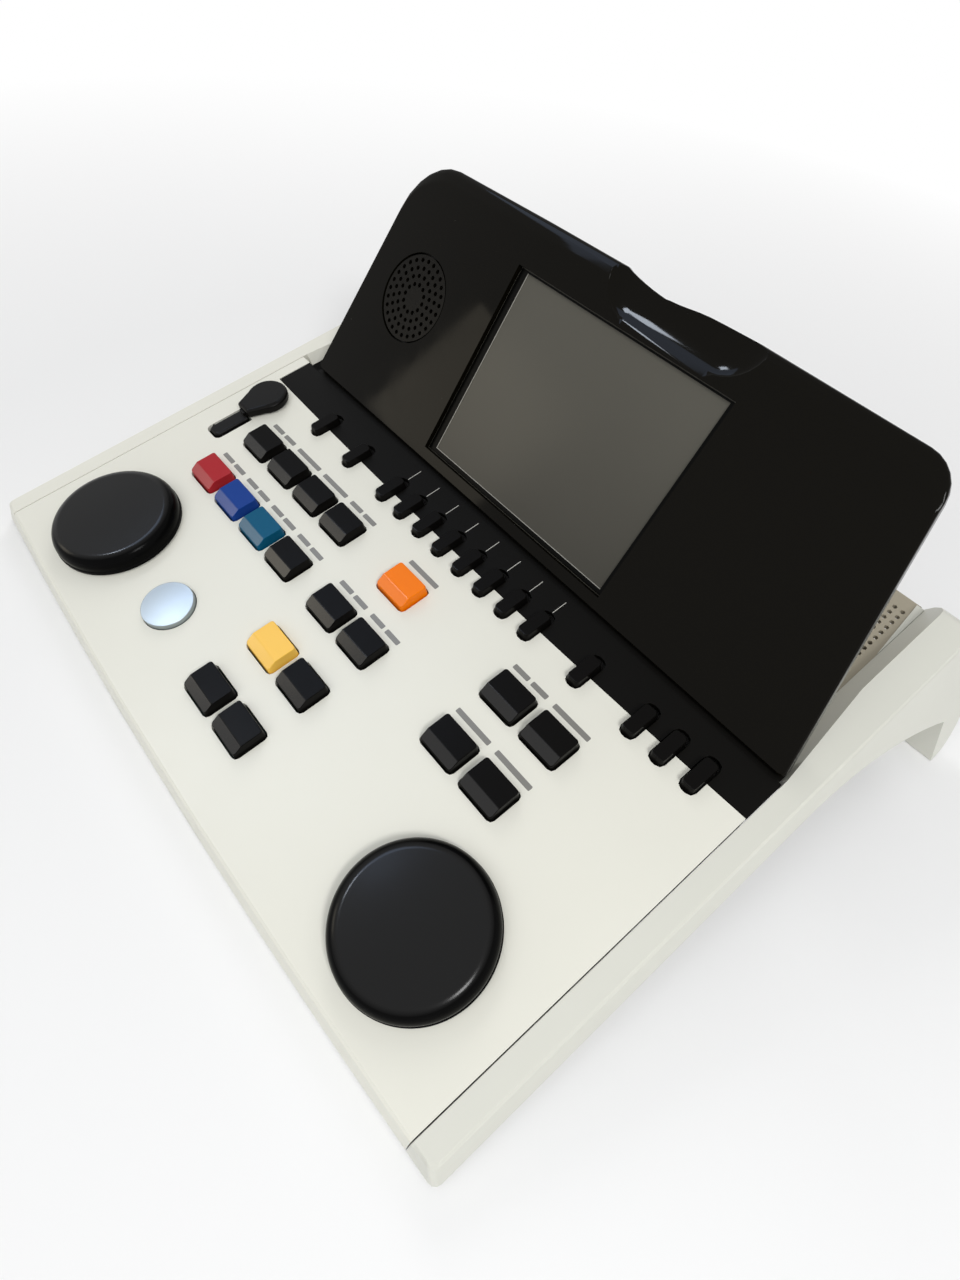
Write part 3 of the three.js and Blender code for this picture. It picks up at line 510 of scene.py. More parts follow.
class FinishRack:
    """Builds each finish once."""

    def __init__(self) -> None:
        """Starts with no finish built."""
        self._built: dict[str, bpy.types.Material] = {}

    def dress(self, obj: bpy.types.Object, finish: object) -> None:
        """Gives an object one finish.

        Args:
            obj: The object.
            finish: One of the finishes above.
        """
        if finish.name not in self._built:
            self._built[finish.name] = finish.material()
        obj.data.materials.clear()
        obj.data.materials.append(self._built[finish.name])
        log.info("%s in %s", obj.name, finish.name)

    def fit(self, shape: "Shaper", axes: Axes, body: str, node: str, finish: object) -> None:
        """Seats and dresses a piece that stands for a node.

        Args:
            shape: The piece.
            axes: The axes it was drawn in.
            body: The body it rides on.
            node: The node that it replaces.
            finish: Its finish.
        """
        skin = shape.seat(axes, body)
        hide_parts(node)
        self.dress(skin, finish)

    def add(self, shape: "Shaper", axes: Axes, body: str, slot: str, finish: object) -> None:
        """Seats and dresses a piece that only the scene has.

        Args:
            shape: The piece.
            axes: The axes it was drawn in.
            body: The body it rides on.
            slot: Not used.
            finish: Its finish.
        """
        piece = shape.seat(axes, body)
        self.dress(piece, finish)


class Shaper:
    """One piece as it is modelled, in millimetres, in its own tilted axes."""

    def __init__(self, name: str) -> None:
        """Takes the object that was just added.

        Args:
            name: The piece's name.
        """
        self.obj = bpy.context.object
        self.obj.name = name
        self.obj.data.name = name

    @classmethod
    def block(cls, name: str, low: Sequence[float], high: Sequence[float]) -> "Shaper":
        """A block between two corners.

        Args:
            name: The piece's name.
            low: The lowest corner.
            high: The highest corner.

        Returns:
            The shaper.
        """
        bpy.ops.object.select_all(action="DESELECT")
        middle = [(a + b) / 2 for a, b in zip(low, high)]
        span = [b - a for a, b in zip(low, high)]
        bpy.ops.mesh.primitive_cube_add(size=1, location=middle, scale=span)
        bpy.ops.object.transform_apply(location=True, rotation=True, scale=True)
        return cls(name)

    @classmethod
    def turned(cls, name: str, rings: Sequence[tuple[float, float]], axis: Vector, sides: int) -> "Shaper":
        """A round piece, extruded up from a disc.

        Args:
            name: The piece's name.
            rings: The radius and height of each ring, the foot's first.
            axis: A point on its upright axis.
            sides: The number of its sides.

        Returns:
            The shaper.
        """
        bpy.ops.object.select_all(action="DESELECT")
        bpy.ops.mesh.primitive_circle_add(vertices=sides, radius=rings[0][0], fill_type="NGON",
                                          location=(axis.x, axis.y, rings[0][1]))
        bpy.ops.object.transform_apply(location=True, rotation=True, scale=True)
        shape = cls(name)
        shape.edit()
        bpy.ops.mesh.select_all(action="SELECT")
        for (old_radius, old_height), (radius, height) in zip(rings, rings[1:]):
            bpy.ops.mesh.extrude_region_move(TRANSFORM_OT_translate={"value": (0, 0, height - old_height)})
            share = radius / old_radius
            bpy.ops.transform.resize(value=(share, share, 1), center_override=(axis.x, axis.y, 0))
        bpy.ops.mesh.select_all(action="SELECT")
        bpy.ops.mesh.normals_make_consistent(inside=False)
        shape.leave()
        return shape

    @classmethod
    def adopt(cls, name: str, mesh: bpy.types.Mesh) -> "Shaper":
        """A new object for a mesh.

        Args:
            name: The piece's name.
            mesh: Its mesh, which nothing else uses.

        Returns:
            The shaper.
        """
        bpy.ops.object.select_all(action="DESELECT")
        obj = bpy.data.objects.new(name, mesh)
        bpy.context.scene.collection.objects.link(obj)
        bpy.context.view_layer.objects.active = obj
        obj.select_set(True)
        return cls(name)

    @classmethod
    def copy(cls, node: str, axes: Axes) -> "Shaper":
        """A copy of a node in its own axes, with merged vertices and joined flat faces.

        Args:
            node: The node's name.
            axes: The axes that the copy is shaped in.

        Returns:
            The shaper.
        """
        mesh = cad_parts[node].data.copy()
        mesh.transform(Matrix.Scale(1 / MM, 4) @ axes.turn.inverted())
        shaper = cls.adopt(f"{node}_skin", mesh)
        shaper.edit()
        bpy.ops.mesh.select_all(action="SELECT")
        bpy.ops.mesh.remove_doubles(threshold=0.01)
        bpy.ops.mesh.dissolve_limited(angle_limit=math.radians(0.4))
        shaper.leave()
        return shaper

    def twin(self, name: str, shift: Vector) -> "Shaper":
        """A moved copy with its own mesh.

        Args:
            name: The copy's name.
            shift: The move.

        Returns:
            The copy's shaper.
        """
        mesh = self.obj.data.copy()
        mesh.transform(Matrix.Translation(shift))
        return Shaper.adopt(name, mesh)

    def carve(self, cutter: "Shaper") -> None:
        """Cuts another piece out of this one and drops the other.

        Args:
            cutter: The piece cut out.
        """
        carve = self.obj.modifiers.new("carve", "BOOLEAN")
        carve.operation = "DIFFERENCE"
        carve.solver = "EXACT"
        carve.object = cutter.obj
        bpy.context.view_layer.objects.active = self.obj
        bpy.ops.object.modifier_apply(modifier=carve.name)
        cutter.drop()

    def drop(self) -> None:
        """Removes the piece."""
        bpy.data.objects.remove(self.obj, do_unlink=True)

    def edit(self) -> None:
        """Enters edit mode with nothing selected."""
        bpy.context.view_layer.objects.active = self.obj
        bpy.ops.object.mode_set(mode="EDIT")
        bpy.ops.mesh.select_mode(type="FACE")
        bpy.ops.mesh.select_all(action="DESELECT")

    def leave(self) -> None:
        """Goes back to object mode."""
        bpy.ops.object.mode_set(mode="OBJECT")

    def pick_edges(self, test: Test) -> None:
        """Selects the edges whose middle and direction pass a test.

        Args:
            test: Takes the middle and the unit direction.
        """
        self.edit()
        bpy.ops.mesh.select_mode(type="EDGE")
        for edge in bmesh.from_edit_mesh(self.obj.data).edges:
            first, second = (vert.co for vert in edge.verts)
            edge.select_set(test((first + second) / 2, (second - first).normalized()))
        bmesh.update_edit_mesh(self.obj.data)

    def bevel(self, test: Test, width: float, segments: int) -> None:
        """Rounds the edges that pass a test.

        Args:
            test: Takes an edge's middle and direction.
            width: The radius.
            segments: The number of facets.
        """
        self.pick_edges(test)
        bpy.ops.mesh.bevel(offset=width, segments=segments, profile=0.5, affect="EDGES")
        self.leave()

    def move(self, test: Test, step: Sequence[float]) -> None:
        """Moves the edges that pass a test.

        Args:
            test: Takes an edge's middle and direction.
            step: The move.
        """
        self.pick_edges(test)
        bpy.ops.transform.translate(value=step)
        self.leave()

    def spread(self, test: Test, share: float, centre: Sequence[float]) -> None:
        """Scales the edges that pass a test about an upright axis.

        Args:
            test: Takes an edge's middle and direction.
            share: The factor in x and y.
            centre: The axis.
        """
        self.pick_edges(test)
        bpy.ops.transform.resize(value=(share, share, 1), center_override=centre)
        self.leave()

    def cut(self, place: Sequence[float], normal: Sequence[float]) -> None:
        """Adds an edge line where a plane crosses the piece.

        Args:
            place: A point on the plane.
            normal: The plane's normal.
        """
        self.edit()
        bpy.ops.mesh.select_all(action="SELECT")
        bpy.ops.mesh.bisect(plane_co=place, plane_no=normal)
        self.leave()

    def soften(self, width: float, segments: int) -> None:
        """Rounds every sharp edge with a bevel that is applied.

        Args:
            width: The radius.
            segments: The number of facets.
        """
        bevel = self.obj.modifiers.new("soften", "BEVEL")
        bevel.width = width
        bevel.segments = segments
        bevel.limit_method = "ANGLE"
        bevel.angle_limit = SHARP
        bevel.harden_normals = False
        bpy.context.view_layer.objects.active = self.obj
        bpy.ops.object.modifier_apply(modifier=bevel.name)

    def smooth(self, angle: float = 25.0) -> None:
        """Shades smooth, with flat faces kept flat.

        Args:
            angle: The largest turn, in degrees, that is shaded smooth.
        """
        bpy.ops.object.select_all(action="DESELECT")
        self.obj.select_set(True)
        bpy.context.view_layer.objects.active = self.obj
        bpy.ops.object.shade_smooth_by_angle(angle=math.radians(angle))
        weigh = self.obj.modifiers.new("weigh", "WEIGHTED_NORMAL")
        weigh.keep_sharp = True
        weigh.weight = 80
        bpy.ops.object.modifier_apply(modifier=weigh.name)

    def seat(self, axes: Axes, body: str) -> bpy.types.Object:
        """Turns the piece from its axes to the table's, in metres, and fixes it to a body.

        Args:
            axes: The axes it was drawn in.
            body: The body it rides on.

        Returns:
            The finished object.
        """
        self.obj.data.transform(axes.turn @ Matrix.Scale(MM, 4))
        self.obj.data.update()
        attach(self.obj, body)
        return self.obj


@dataclass(frozen=True)
class Span:
    """The corners of a node in tilted axes, in millimetres."""

    low: Vector
    high: Vector

    @classmethod
    def of(cls, node: str, axes: Axes = Axes.DECK) -> "Span":
        """Measures a node of the frame.

        Args:
            node: The node's name.
            axes: The axes to measure in.

        Returns:
            Its span.
        """
        turn = axes.turn.inverted()
        points = [turn @ vert.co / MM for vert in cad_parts[node].data.vertices]
        low = Vector([min(point[i] for point in points) for i in range(3)])
        high = Vector([max(point[i] for point in points) for i in range(3)])
        return cls(low, high)

    @property
    def middle(self) -> Vector:
        """The point midway between the corners."""
        return (self.low + self.high) / 2


def rounded(node: str, axes: Axes, width: float, segments: int = 3) -> Shaper:
    """A copy of a node with its sharp edges rounded.

    Args:
        node: The node's name.
        axes: The axes that it lies in.
        width: The edge radius in millimetres.
        segments: The facets of each rounded edge.

    Returns:
        The copy, not yet seated.
    """
    shape = Shaper.copy(node, axes)
    if width > 0:
        shape.soften(width, segments)
    shape.smooth()
    return shape


@dataclass
class Case:
    """The moulded case, its base and the rear sockets."""

    rack: FinishRack
    cover_edge: float = 0.3
    cover_crease: float = 14.0
    rim_band: float = 0.4
    rail_edge: float = 0.6
    strip_edge: float = 0.2
    base_edge: float = 1.0
    dish_floor: float = 30.4
    dish_reach: float = 32.6
    trim_width: float = 1.9
    trim_rise: float = 0.1
    trim_depth: float = 0.6
    trim_outer: float = 1.5
    trim_inset: float = 1.0
    ledge_rise: float = 0.6
    ledge_start: float = 113.3
    ledge_point: float = 0.2
    ledge_tail: float = 3.4
    # Sizes of the thin black sheet that paints the shade behind the key strip.
    shade_sheet_depth: float = 4.6
    shade_sheet_tab_depth: float = 11.0
    shade_sheet_gap: float = 0.4
    shade_sheet_left: float = 3.0
    shade_sheet_right: float = 1.2
    shade_sheet_rise: float = 0.08
    shade_sheet_lap: float = 0.5
    plain: dict[str, object] = field(default_factory=lambda: {
        "rear_well": WELL_KHAKI_AND_SHADE, "control_board": BOARD, "hinge_mount_1": HINGE_GAP_BLACK,
        "hinge_mount_2": HINGE_GAP_BLACK, "jack_row": SOCKET_BLACK, "usb_port": STEEL,
        "power_inlet": SOCKET_BLACK, "foot_1": RUBBER, "foot_2": RUBBER, "foot_3": RUBBER,
        "foot_4": RUBBER})

    def cover(self) -> None:
        """Rounds the deck's edges and steepens the rims of the dishes round the dials."""
        shape = Shaper.copy("top_cover", Axes.DECK)
        for dial in ("dial_left", "dial_right"):
            centre = Span.of(dial).middle
            shape.spread(lambda at, _: abs((at - centre).xy.length - self.dish_floor) < self.rim_band,
                         self.dish_reach / self.dish_floor, centre)
        shape.soften(self.cover_edge, 3)
        shape.smooth(self.cover_crease)
        self.rack.fit(shape, Axes.DECK, CASE_BODY, "top_cover", IVORY)

    def pair(self, shape: Shaper, name: str, finish: Plastic) -> None:
        """Seats a piece of the right side and its mirror image.

        Args:
            shape: The right piece.
            name: The left piece's name.
            finish: The finish of both.
        """
        mesh = shape.obj.data.copy()
        mesh.transform(Matrix.Scale(-1, 4, (1, 0, 0)))
        mesh.flip_normals()
        for side in (shape, Shaper.adopt(name, mesh)):
            self.rack.add(side, Axes.DECK, CASE_BODY, "ivory", finish)

    def ledges(self) -> None:
        """Trims the sunken plate's sides and adds the light wedge at the rear of each."""
        plate = Span.of("rear_well")
        top = plate.high.z
        wall = plate.high.x + self.trim_outer
        front, rear = plate.low.y + self.trim_inset, plate.high.y - self.trim_inset
        # The trims share the plate's khaki with its painted shade.
        trim = Shaper.block("well_trim_right", (wall - self.trim_width, front, top - self.trim_depth),
                            (wall, rear, top + self.trim_rise))
        self.pair(trim, "well_trim_left", WELL_KHAKI_AND_SHADE)
        start = wall - self.ledge_point
        ledge = Shaper.block("ledge_right", (start, self.ledge_start, top - self.trim_depth / 2),
                             (wall, rear, top + self.ledge_rise))
        ledge.move(lambda at, way: at.x < start + NEAR and at.y > rear - NEAR and abs(way.z) > ALONG,
                   (self.ledge_point - self.ledge_tail, 0, 0))
        self.pair(ledge, "ledge_left", LEDGE)

    def painted_shade_sheet(self) -> None:
        """Adds a thin black sheet behind the key strip, deeper beside the lid's left foot, as painted
        shade for the gap under the lid.
        """
        strip = Span.of("key_strip")
        foot = Span.of("lid_front", Axes.LID).low.x
        low = (strip.low.x + self.shade_sheet_left, strip.high.y - self.shade_sheet_lap, strip.high.z - self.shade_sheet_lap)
        # Both sheets are black only to paint the shade in the gap between the strip and the lid.
        for name, right, depth in (
            ("hinge_painted_shade_sheet", strip.high.x - self.shade_sheet_right, self.shade_sheet_depth),
            ("hinge_apron_tab", foot - self.shade_sheet_gap, self.shade_sheet_tab_depth),
        ):
            high = (right, strip.high.y + depth, strip.high.z + self.shade_sheet_rise)
            self.rack.add(Shaper.block(name, low, high), Axes.DECK, CASE_BODY, "black", STRIP)

    def build(self) -> None:
        """Dresses every piece of the case."""
        self.cover()
        for node, axes, finish, edge in (
            ("left_rail", Axes.DECK, IVORY, self.rail_edge),
            ("right_rail", Axes.DECK, PALE, self.rail_edge),
            ("key_strip", Axes.DECK, STRIP, self.strip_edge),
            ("base_tray", Axes.TABLE, CHARCOAL, self.base_edge),
            ("rear_panel", Axes.TABLE, CHARCOAL, self.cover_edge),
        ):
            self.rack.fit(rounded(node, axes, edge), axes, CASE_BODY, node, finish)
        for node, finish in self.plain.items():
            self.rack.dress(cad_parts[node], finish)
        self.ledges()
        self.painted_shade_sheet()


@dataclass
class WedgeKeys:
    """Keys with a flat top and a sloping front facet, modelled once and copied."""

    rack: FinishRack
    names: list[str]
    facet_depth: float
    facet_drop: float
    corner: float
    edge: float
    finish: Plastic
    rear_trim: float = 0.0
    draft: float = 0.45
    flange: float = 1.3
    colours: dict[str, Plastic] = field(default_factory=dict)

    def cap(self, node: str) -> Shaper:
        """Models one key cap over its node.

        Args:
            node: The key's node.

        Returns:
            The cap.
        """
        span = Span.of(node)
        low = span.low + Vector((self.flange, self.flange, 0))
        high = span.high - Vector((self.flange, self.flange + self.rear_trim, 0))
        shape = Shaper.block(f"{node}_master", low, high)
        crease = low.y + self.facet_depth
        shape.cut((0, crease, 0), (0, 1, 0))
        near = self.edge / 2
        width = high.x - low.x
        shape.spread(lambda at, way: at.z > high.z - near, 1 - 2 * self.draft / width, span.middle)
        shape.move(lambda at, _: at.z > high.z - near and at.y < low.y + self.draft + near,
                   (0, 0, -self.facet_drop))
        inner = self.draft + self.edge
        shape.bevel(lambda at, way: abs(way.z) > 0.8 and abs(at.y - crease) > inner, self.corner, 6)
        floor = high.z - self.facet_drop - near
        shape.bevel(lambda at, way: at.z > floor and abs(way.z) < 0.8, self.edge, 3)
        shape.smooth()
        return shape

    def build(self) -> None:
        """Models the first key, then copies it to every node and dresses each copy."""
        master = self.cap(self.names[0])
        start = Span.of(self.names[0]).middle
        for node in self.names:
            cap = master.twin(f"{node}_cap", Span.of(node).middle - start)
            self.rack.fit(cap, Axes.DECK, node, node, self.colours.get(node, self.finish))
        master.drop()


@dataclass
class Dials:
    """The two large dials."""

    rack: FinishRack
    sides: int = 160
    rim: float = 5.2
    rim_steps: int = 10
    foot_edge: float = 0.3
    skirt: float = 0.35
    skirt_height: float = 1.5
    skirt_slope: float = 0.25
    crown: float = 0.4
    crown_steps: int = 5
    crown_reach: float = 0.95

    def profile(self, radius: float, bottom: float, top: float) -> list[tuple[float, float]]:
        """The dial's outline from the foot to the middle of its top.

        Args:
            radius: The outer radius.
            bottom: The foot's height.
            top: The top's height.

        Returns:
            Pairs of radius and height.
        """
        shoulder = top - self.crown
        body = radius - self.skirt
        step_top = bottom + self.skirt_height
        outline = [(radius - self.foot_edge, bottom), (radius, bottom + self.foot_edge),
                   (radius, step_top), (body, step_top + self.skirt_slope)]
        for step in range(self.rim_steps + 1):
            angle = math.pi / 2 * step / self.rim_steps
            outline.append((body - self.rim * (1 - math.cos(angle)),
                            shoulder - self.rim + self.rim * math.sin(angle)))
        inner = body - self.rim
        for step in range(1, self.crown_steps + 1):
            share = step / self.crown_steps
            outline.append((inner * (1 - self.crown_reach * share),
                            shoulder + self.crown * (1 - (1 - share) ** 2)))
        return outline

    def build(self) -> None:
        """Models one dial, copies it and dresses both."""
        span = Span.of("dial_left")
        radius = (span.high.x - span.low.x) / 2
        middle = span.middle
        outline = self.profile(radius, span.low.z, span.high.z)
        master = Shaper.turned("dial_master", outline, middle, self.sides)
        master.smooth(35)
        for node in ("dial_left", "dial_right"):
            cap = master.twin(f"{node}_cap", Span.of(node).middle - middle)
            self.rack.fit(cap, Axes.DECK, node, node, DIAL_BLACK)
        master.drop()


@dataclass
class PushButton:
    """The round silver button."""

    rack: FinishRack
    sides: int = 96
    lip: float = 0.35
    lip_drop: float = 0.55
    dome: float = 0.5
    dome_steps: int = 6
    dome_reach: float = 0.96
    flange: float = 1.1

    def build(self) -> None:
        """Models and dresses the button."""
        span = Span.of("push_button")
        radius = (span.high.x - span.low.x) / 2 - self.flange
        top = span.high.z
        shoulder = top - self.dome
        profile = [(radius, span.low.z), (radius, shoulder - self.lip_drop),
                   (radius - self.lip / 3, shoulder - self.lip_drop / 3), (radius - self.lip, shoulder)]
        inner = radius - self.lip
        for step in range(1, self.dome_steps + 1):
            share = step / self.dome_steps
            profile.append((inner * (1 - self.dome_reach * share), top - self.dome * (1 - share) ** 2))
        shape = Shaper.turned("push_button_cap", profile, span.middle, self.sides)
        shape.smooth()
        self.rack.fit(shape, Axes.DECK, "push_button", "push_button", SILVER)


@dataclass
class Microphone:
    """The folding talk microphone."""

    rack: FinishRack
    arm_edge: float = 0.9
    head_edge: float = 1.1

    def build(self) -> None:
        """Dresses the arm and the head."""
        for node, edge in (("mic_arm", self.arm_edge), ("mic_head", self.head_edge)):
            shape = rounded(node, Axes.DECK, edge, 4)
            self.rack.fit(shape, Axes.DECK, "microphone", node, MIC_BLACK)


@dataclass
class DisplayLid:
    """The tilting lid with the display and the loudspeaker."""

    rack: FinishRack
    front_edge: float = 0.5
    back_edge: float = 0.9
    panel_frame: float = 2.0
    clearance: float = 0.08
    mask_left: float = 4.0
    mask_right: float = 2.0
    mask_bottom: float = 2.0
    mask_top: float = 0.8
    mask_height: float = 0.5
    mask_edge: float = 0.12
    bead_width: float = 0.35
    bead_height: float = 0.3
    bead_edge: float = 0.1
    scoop_centre: float = 25.2
    scoop_reach: float = 17.0
    scoop_slope: float = 2.0
    rim_band: float = 0.2
    fill: tuple[tuple[float, float], ...] = (
        (-12.0, 3.3), (-9.0, 2.9), (-5.0, 2.6), (-1.0, 2.1), (4.0, 1.4), (9.0, 0.95), (15.0, 0.7),
        (22.0, 0.5), (32.0, 0.25))
    fill_depth: float = 6.0
    fill_back: float = -7.0
    fill_front: float = 0.25
    fill_edge: float = 2.0

    def opening(self) -> tuple[Vector, Vector]:
        """The corners of the window in the lid, on the display's face.

        Returns:
            The lowest and the highest corner.
        """
        panel = Span.of("lcd_panel", Axes.LID)
        frame_width = self.panel_frame + self.clearance
        inset = Vector((frame_width, frame_width, 0))
        low = Vector((panel.low.x, panel.low.y, panel.high.z)) + inset
        return low, panel.high - inset

    def border(self) -> None:
        """Adds the black border round the display and, on two of its sides, a pale bead that is a painted
        highlight along the window's edge.
        """
        low, high = self.opening()
        face = low.z
        inner_low = low + Vector((self.mask_left, self.mask_bottom, -1))
        inner_high = high + Vector((-self.mask_right, -self.mask_top, self.mask_height + 1))
        mask = Shaper.block("screen_mask", low, (high.x, high.y, face + self.mask_height))
        mask.carve(Shaper.block("screen_mask_hole", inner_low, inner_high))
        mask.soften(self.mask_edge, 2)
        mask.smooth()
        self.rack.add(mask, Axes.LID, LID_BODY, "black_gloss", MASK)
        # The pale bead paints the highlight that the window's edge catches.
        bead = Shaper.block(
            "screen_painted_highlight", (inner_low.x, inner_low.y, face),
            (inner_high.x, inner_high.y, face + self.bead_height))
        width = self.bead_width
        bead.carve(Shaper.block(
            "screen_bead_hole", (inner_low.x + width, inner_low.y + width, face - 1),
            (inner_high.x + 1, inner_high.y + 1, face + 1)))
        bead.soften(self.bead_edge, 2)
        bead.smooth()
        self.rack.add(bead, Axes.LID, LID_BODY, "screen", SCREEN_EDGE_HIGHLIGHT)

    def front(self) -> None:
        """Eases the finger scoop's lower rim and rounds the front sheet."""
        shape = Shaper.copy("lid_front", Axes.LID)
        span = Span.of("lid_front", Axes.LID)
        rim = span.high.y - self.scoop_reach
        shape.move(lambda at, way: at.z > span.high.z - NEAR and abs(at.y - rim) < self.rim_band
                   and abs(way.x) > ALONG, (0, -self.scoop_slope, 0))
        shape.soften(self.front_edge, 3)
        shape.smooth()
        self.rack.fit(shape, Axes.LID, LID_BODY, "lid_front", LID_GLOSS)

    def saddle(self) -> None:
        """Fills the right part of the dip in the lid's top edge with a smooth slope."""
        top = Span.of("lid_front", Axes.LID).high.y
        first, last = self.fill[0][0], self.fill[-1][0]
        shape = Shaper.block(
            "scoop_saddle", (self.scoop_centre + first, top - self.fill_depth, self.fill_back),
            (self.scoop_centre + last, top, self.fill_front))
        for place, _ in self.fill[1:-1]:
            shape.cut((self.scoop_centre + place, 0, 0), (1, 0, 0))
        for place, drop in self.fill:
            x = self.scoop_centre + place
            shape.move(lambda at, way: abs(at.x - x) < NEAR and abs(way.z) > ALONG and at.y > top - NEAR,
                       (0, -drop, 0))
        shape.bevel(lambda at, way: at.z < self.fill_back + NEAR and at.y > top - self.fill_depth + NEAR
                    and abs(way.x) > ALONG, self.fill_edge, 4)
        shape.smooth(40)
        self.rack.add(shape, Axes.LID, LID_BODY, "black_gloss", LID_GLOSS)

    def build(self) -> None:
        """Dresses the lid's pieces."""
        self.front()
        self.saddle()
        for node, finish, edge in (("lid_back", LID_SATIN, self.back_edge), ("lcd_panel", SCREEN, 0.0)):
            self.rack.fit(rounded(node, Axes.LID, edge), Axes.LID, LID_BODY, node, finish)
        self.rack.dress(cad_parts["speaker_grille"], GRILLE)
        self.border()


@dataclass
class Indicators:
    """The grey bars behind the keys and the white lines on the strip."""

    rack: FinishRack
    setback: float = 11.6
    width: float = 2.3
    length: float = 19.3
    gap: float = 1.8
    proud: float = 0.06
    sunk: float = 0.5
    halves: tuple[str, ...] = (
        "key_a1", "key_a4", "key_red", "key_blue", "key_teal", "key_b4", "key_c1", "key_c2", "key_f1")
    whole: tuple[str, ...] = ("key_a2", "key_a3", "key_orange", "key_f2", "key_g1", "key_g2")
    line_length: float = 7.7
    line_width: float = 0.35
    line_setback: float = 3.7
    lined_keys: range = range(3, 11)

    def bar(self, name: str, length: float) -> Shaper:
        """One grey bar with rounded ends, centred on the axes.

        Args:
            name: The bar's name.
            length: Its length.

        Returns:
            The bar.
        """
        shape = Shaper.block(name, (-length / 2, -self.width / 2, -self.sunk),
                             (length / 2, self.width / 2, self.proud))
        shape.bevel(lambda _, way: abs(way.z) > ALONG, self.width / 5, 3)
        return shape

    def lay(self, master: Shaper, name: str, place: Sequence[float], finish: Plastic) -> None:
        """Copies a flat piece to a place on the deck.

        Args:
            master: The piece, centred on the axes.
            name: The copy's name.
            place: Its place in the deck's axes.
            finish: Its finish.
        """
        self.rack.add(master.twin(name, Vector(place)), Axes.DECK, CASE_BODY, "pale_grey", finish)

    def build(self) -> None:
        """Makes the bars and the lines."""
        strip = Span.of("key_strip").high
        half_length = (self.length - self.gap) / 2
        offset = (half_length + self.gap) / 2
        whole = self.bar("bar_master", self.length)
        half = self.bar("half_bar_master", half_length)
        for nodes, master, sides in (
            (self.whole, whole, {"": 0.0}), (self.halves, half, {"_left": -offset, "_right": offset}),
        ):
            for node in nodes:
                at = Span.of(node).middle
                for side, step in sides.items():
                    place = (at.x + step, at.y + self.setback, strip.z)
                    self.lay(master, f"bar_{node}{side}", place, BAR_GREY)
        line = Shaper.block("line_master", (-self.line_width / 2, -self.line_length, -self.sunk),
                            (self.line_width / 2, 0, self.proud))
        line.bevel(lambda _, way: abs(way.z) > ALONG, self.line_width / 5, 2)
        for number in self.lined_keys:
            at = Span.of(f"narrow_key_{number}").middle
            place = (at.x, strip.y - self.line_setback, strip.z)
            self.lay(line, f"strip_line_{number}", place, LINE_WHITE)
        for master in (whole, half, line):
            master.drop()


@dataclass(frozen=True)
class PhotoCamera:
    """The camera at the photograph's place, in metres and degrees."""

    place: tuple[float, float, float] = (0.16916, -0.14772, 0.26627)
    right: tuple[float, float, float] = (0.63498, 0.76737, 0.08917)
    forward: tuple[float, float, float] = (-0.42919, 0.44638, -0.78521)
    focal_share: float = 721 / 1280
    film: float = 36.0

    def build(self) -> None:
        """Adds the camera and makes it the scene's."""
        data = bpy.data.cameras.new("photo_camera")
        data.sensor_fit = "VERTICAL"
        data.sensor_height = self.film
        data.lens = self.film * self.focal_share
        data.clip_start = 0.01
        camera = bpy.data.objects.new("photo_camera", data)
        bpy.context.scene.collection.objects.link(camera)
        right = Vector(self.right).normalized()
        back = -Vector(self.forward).normalized()
        up = back.cross(right)
        turn = Matrix((right, up, back)).transposed().to_4x4()
        camera.matrix_world = Matrix.Translation(self.place) @ turn
        bpy.context.scene.camera = camera


@dataclass(frozen=True)
class Lamp:
    """A square soft lamp that faces the object."""

    name: str
    place: tuple[float, float, float]
    size: float
    power: float
    colour: tuple[float, float, float] = (1.0, 1.0, 1.0)
    lights: bool = True
    mirrored: bool = True

    def build(self, target: Vector) -> None:
        """Adds the lamp.

        Args:
            target: The point it faces.
        """
        data = bpy.data.lights.new(self.name, "AREA")
        data.size = self.size
        data.energy = self.power
        data.color = self.colour
        lamp = bpy.data.objects.new(self.name, data)
        bpy.context.scene.collection.objects.link(lamp)
        lamp.location = self.place
        lamp.rotation_euler = (target - Vector(self.place)).to_track_quat("-Z", "Y").to_euler()
        lamp.visible_diffuse = self.lights
        lamp.visible_glossy = self.mirrored


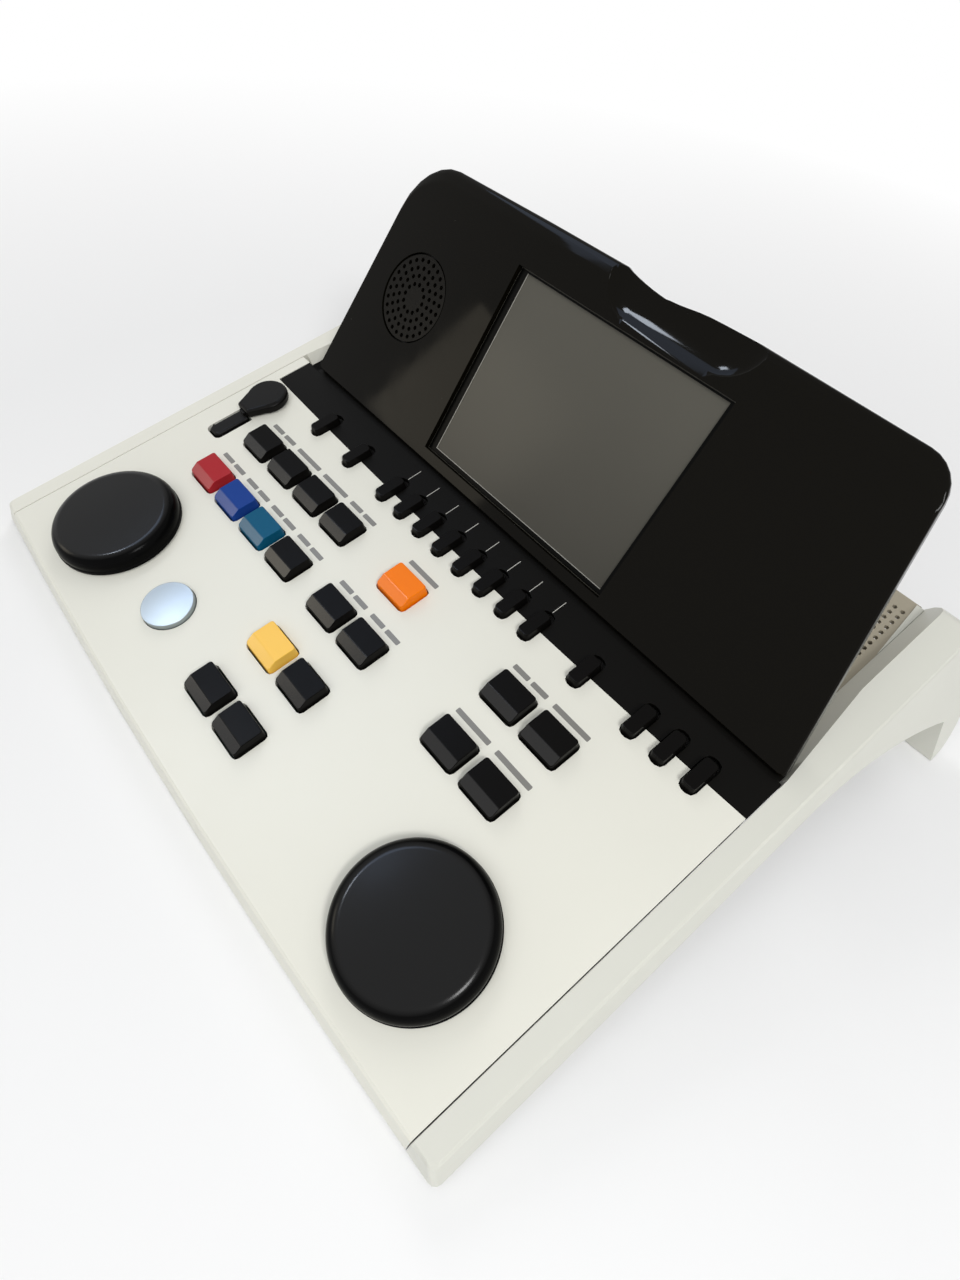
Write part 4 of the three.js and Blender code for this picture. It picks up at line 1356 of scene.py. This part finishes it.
@dataclass
class Studio:
    """A pale floor that fades to white, a white surround and soft lamps."""

    floor_size: float = 8.0
    floor_grey: float = 0.9
    fade_start: float = 0.3
    fade_end: float = 0.8
    world_strength: float = 0.46
    target: tuple[float, float, float] = (0.0, 0.0, 0.03)
    lamps: tuple[Lamp, ...] = (
        Lamp("key_lamp", (-0.9, 0.6, 0.7), 0.5, 3.4, mirrored=False),
        Lamp("ceiling_lamp", (0.75, -0.25, 0.9), 0.26, 5.5),
        Lamp("front_lamp", (0.1, -0.9, 1.1), 0.9, 4.0, (0.96, 0.98, 1.0), mirrored=False),
        Lamp("wall_sheen", (-0.781, -0.872, 0.392), 0.3, 0.8, (1.0, 0.9, 0.7), lights=False),
        Lamp("window_sheen", (-0.62, -0.16, 1.06), 0.5, 3.0, (0.55, 0.7, 1.0), lights=False),
        Lamp("window_spark", (-0.65, -0.5, 1.1), 0.11, 2.6, (0.8, 0.88, 1.0), lights=False),
    )

    def floor(self) -> None:
        """Adds the floor, which keeps the object's shadow and fades to white away from it."""
        bpy.ops.object.select_all(action="DESELECT")
        bpy.ops.mesh.primitive_plane_add(size=self.floor_size)
        floor = bpy.context.object
        floor.name = "floor"
        shader = Shader("floor_white")
        grey = self.floor_grey
        shader.set(Base_Color=(grey, grey, grey, 1), Roughness=0.9, Specular_IOR_Level=0.1)
        reach = shader.value("ShaderNodeVectorMath", "Value", {"operation": "LENGTH"}, {0: shader.place()})
        fade = shader.value("ShaderNodeMapRange", "Result", {}, {
            "Value": reach, "From Min": self.fade_start, "From Max": self.fade_end})
        glow = shader.node("ShaderNodeEmission")
        blend = shader.node("ShaderNodeMixShader", {}, {
            0: fade * shader.seen(), 1: shader.surface.outputs[0], 2: glow.outputs[0]})
        shader.feed(shader.output.inputs["Surface"], blend.outputs[0])
        floor.data.materials.append(shader.material)

    def surround(self) -> None:
        """Lights the scene plainly, and shows as white to the camera and in reflections."""
        world = bpy.data.worlds.new("surround")
        bpy.context.scene.world = world
        world.use_nodes = True
        tree = Tree(world.node_tree)
        strength = self.world_strength + (1 - self.world_strength) * tree.seen()
        light = tree.node("ShaderNodeBackground", {}, {"Color": (1, 1, 1, 1), "Strength": strength})
        tree.node("ShaderNodeOutputWorld", {}, {"Surface": light.outputs[0]})

    def build(self) -> None:
        """Adds the floor, the surround and the lamps."""
        self.floor()
        self.surround()
        for lamp in self.lamps:
            lamp.build(Vector(self.target))
        bpy.context.scene.view_settings.view_transform = "Standard"


def main() -> None:
    """Builds the camera, the studio and every sub-assembly, and logs each as it is built."""
    bpy.ops.object.select_all(action="DESELECT")
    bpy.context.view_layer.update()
    PhotoCamera().build()
    Studio().build()
    rack = FinishRack()
    large = [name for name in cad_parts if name.startswith("key_") and name != "key_strip"]
    narrow = [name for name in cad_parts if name.startswith("narrow_key_")]
    parts = (
        Case(rack),
        WedgeKeys(rack, large, facet_depth=4.6, facet_drop=2.6, corner=1.2, edge=0.35,
                  finish=KEY_BLACK, colours=KEY_COLOURS),
        WedgeKeys(rack, narrow, facet_depth=6.0, facet_drop=1.8, corner=1.7, edge=0.3,
                  finish=NARROW_BLACK, rear_trim=1.6, flange=1.1),
        Dials(rack), PushButton(rack), Microphone(rack), DisplayLid(rack), Indicators(rack),
    )
    for part in parts:
        part.build()
        log.info("%s built", type(part).__name__)


if __name__ == "__main__":
    main()
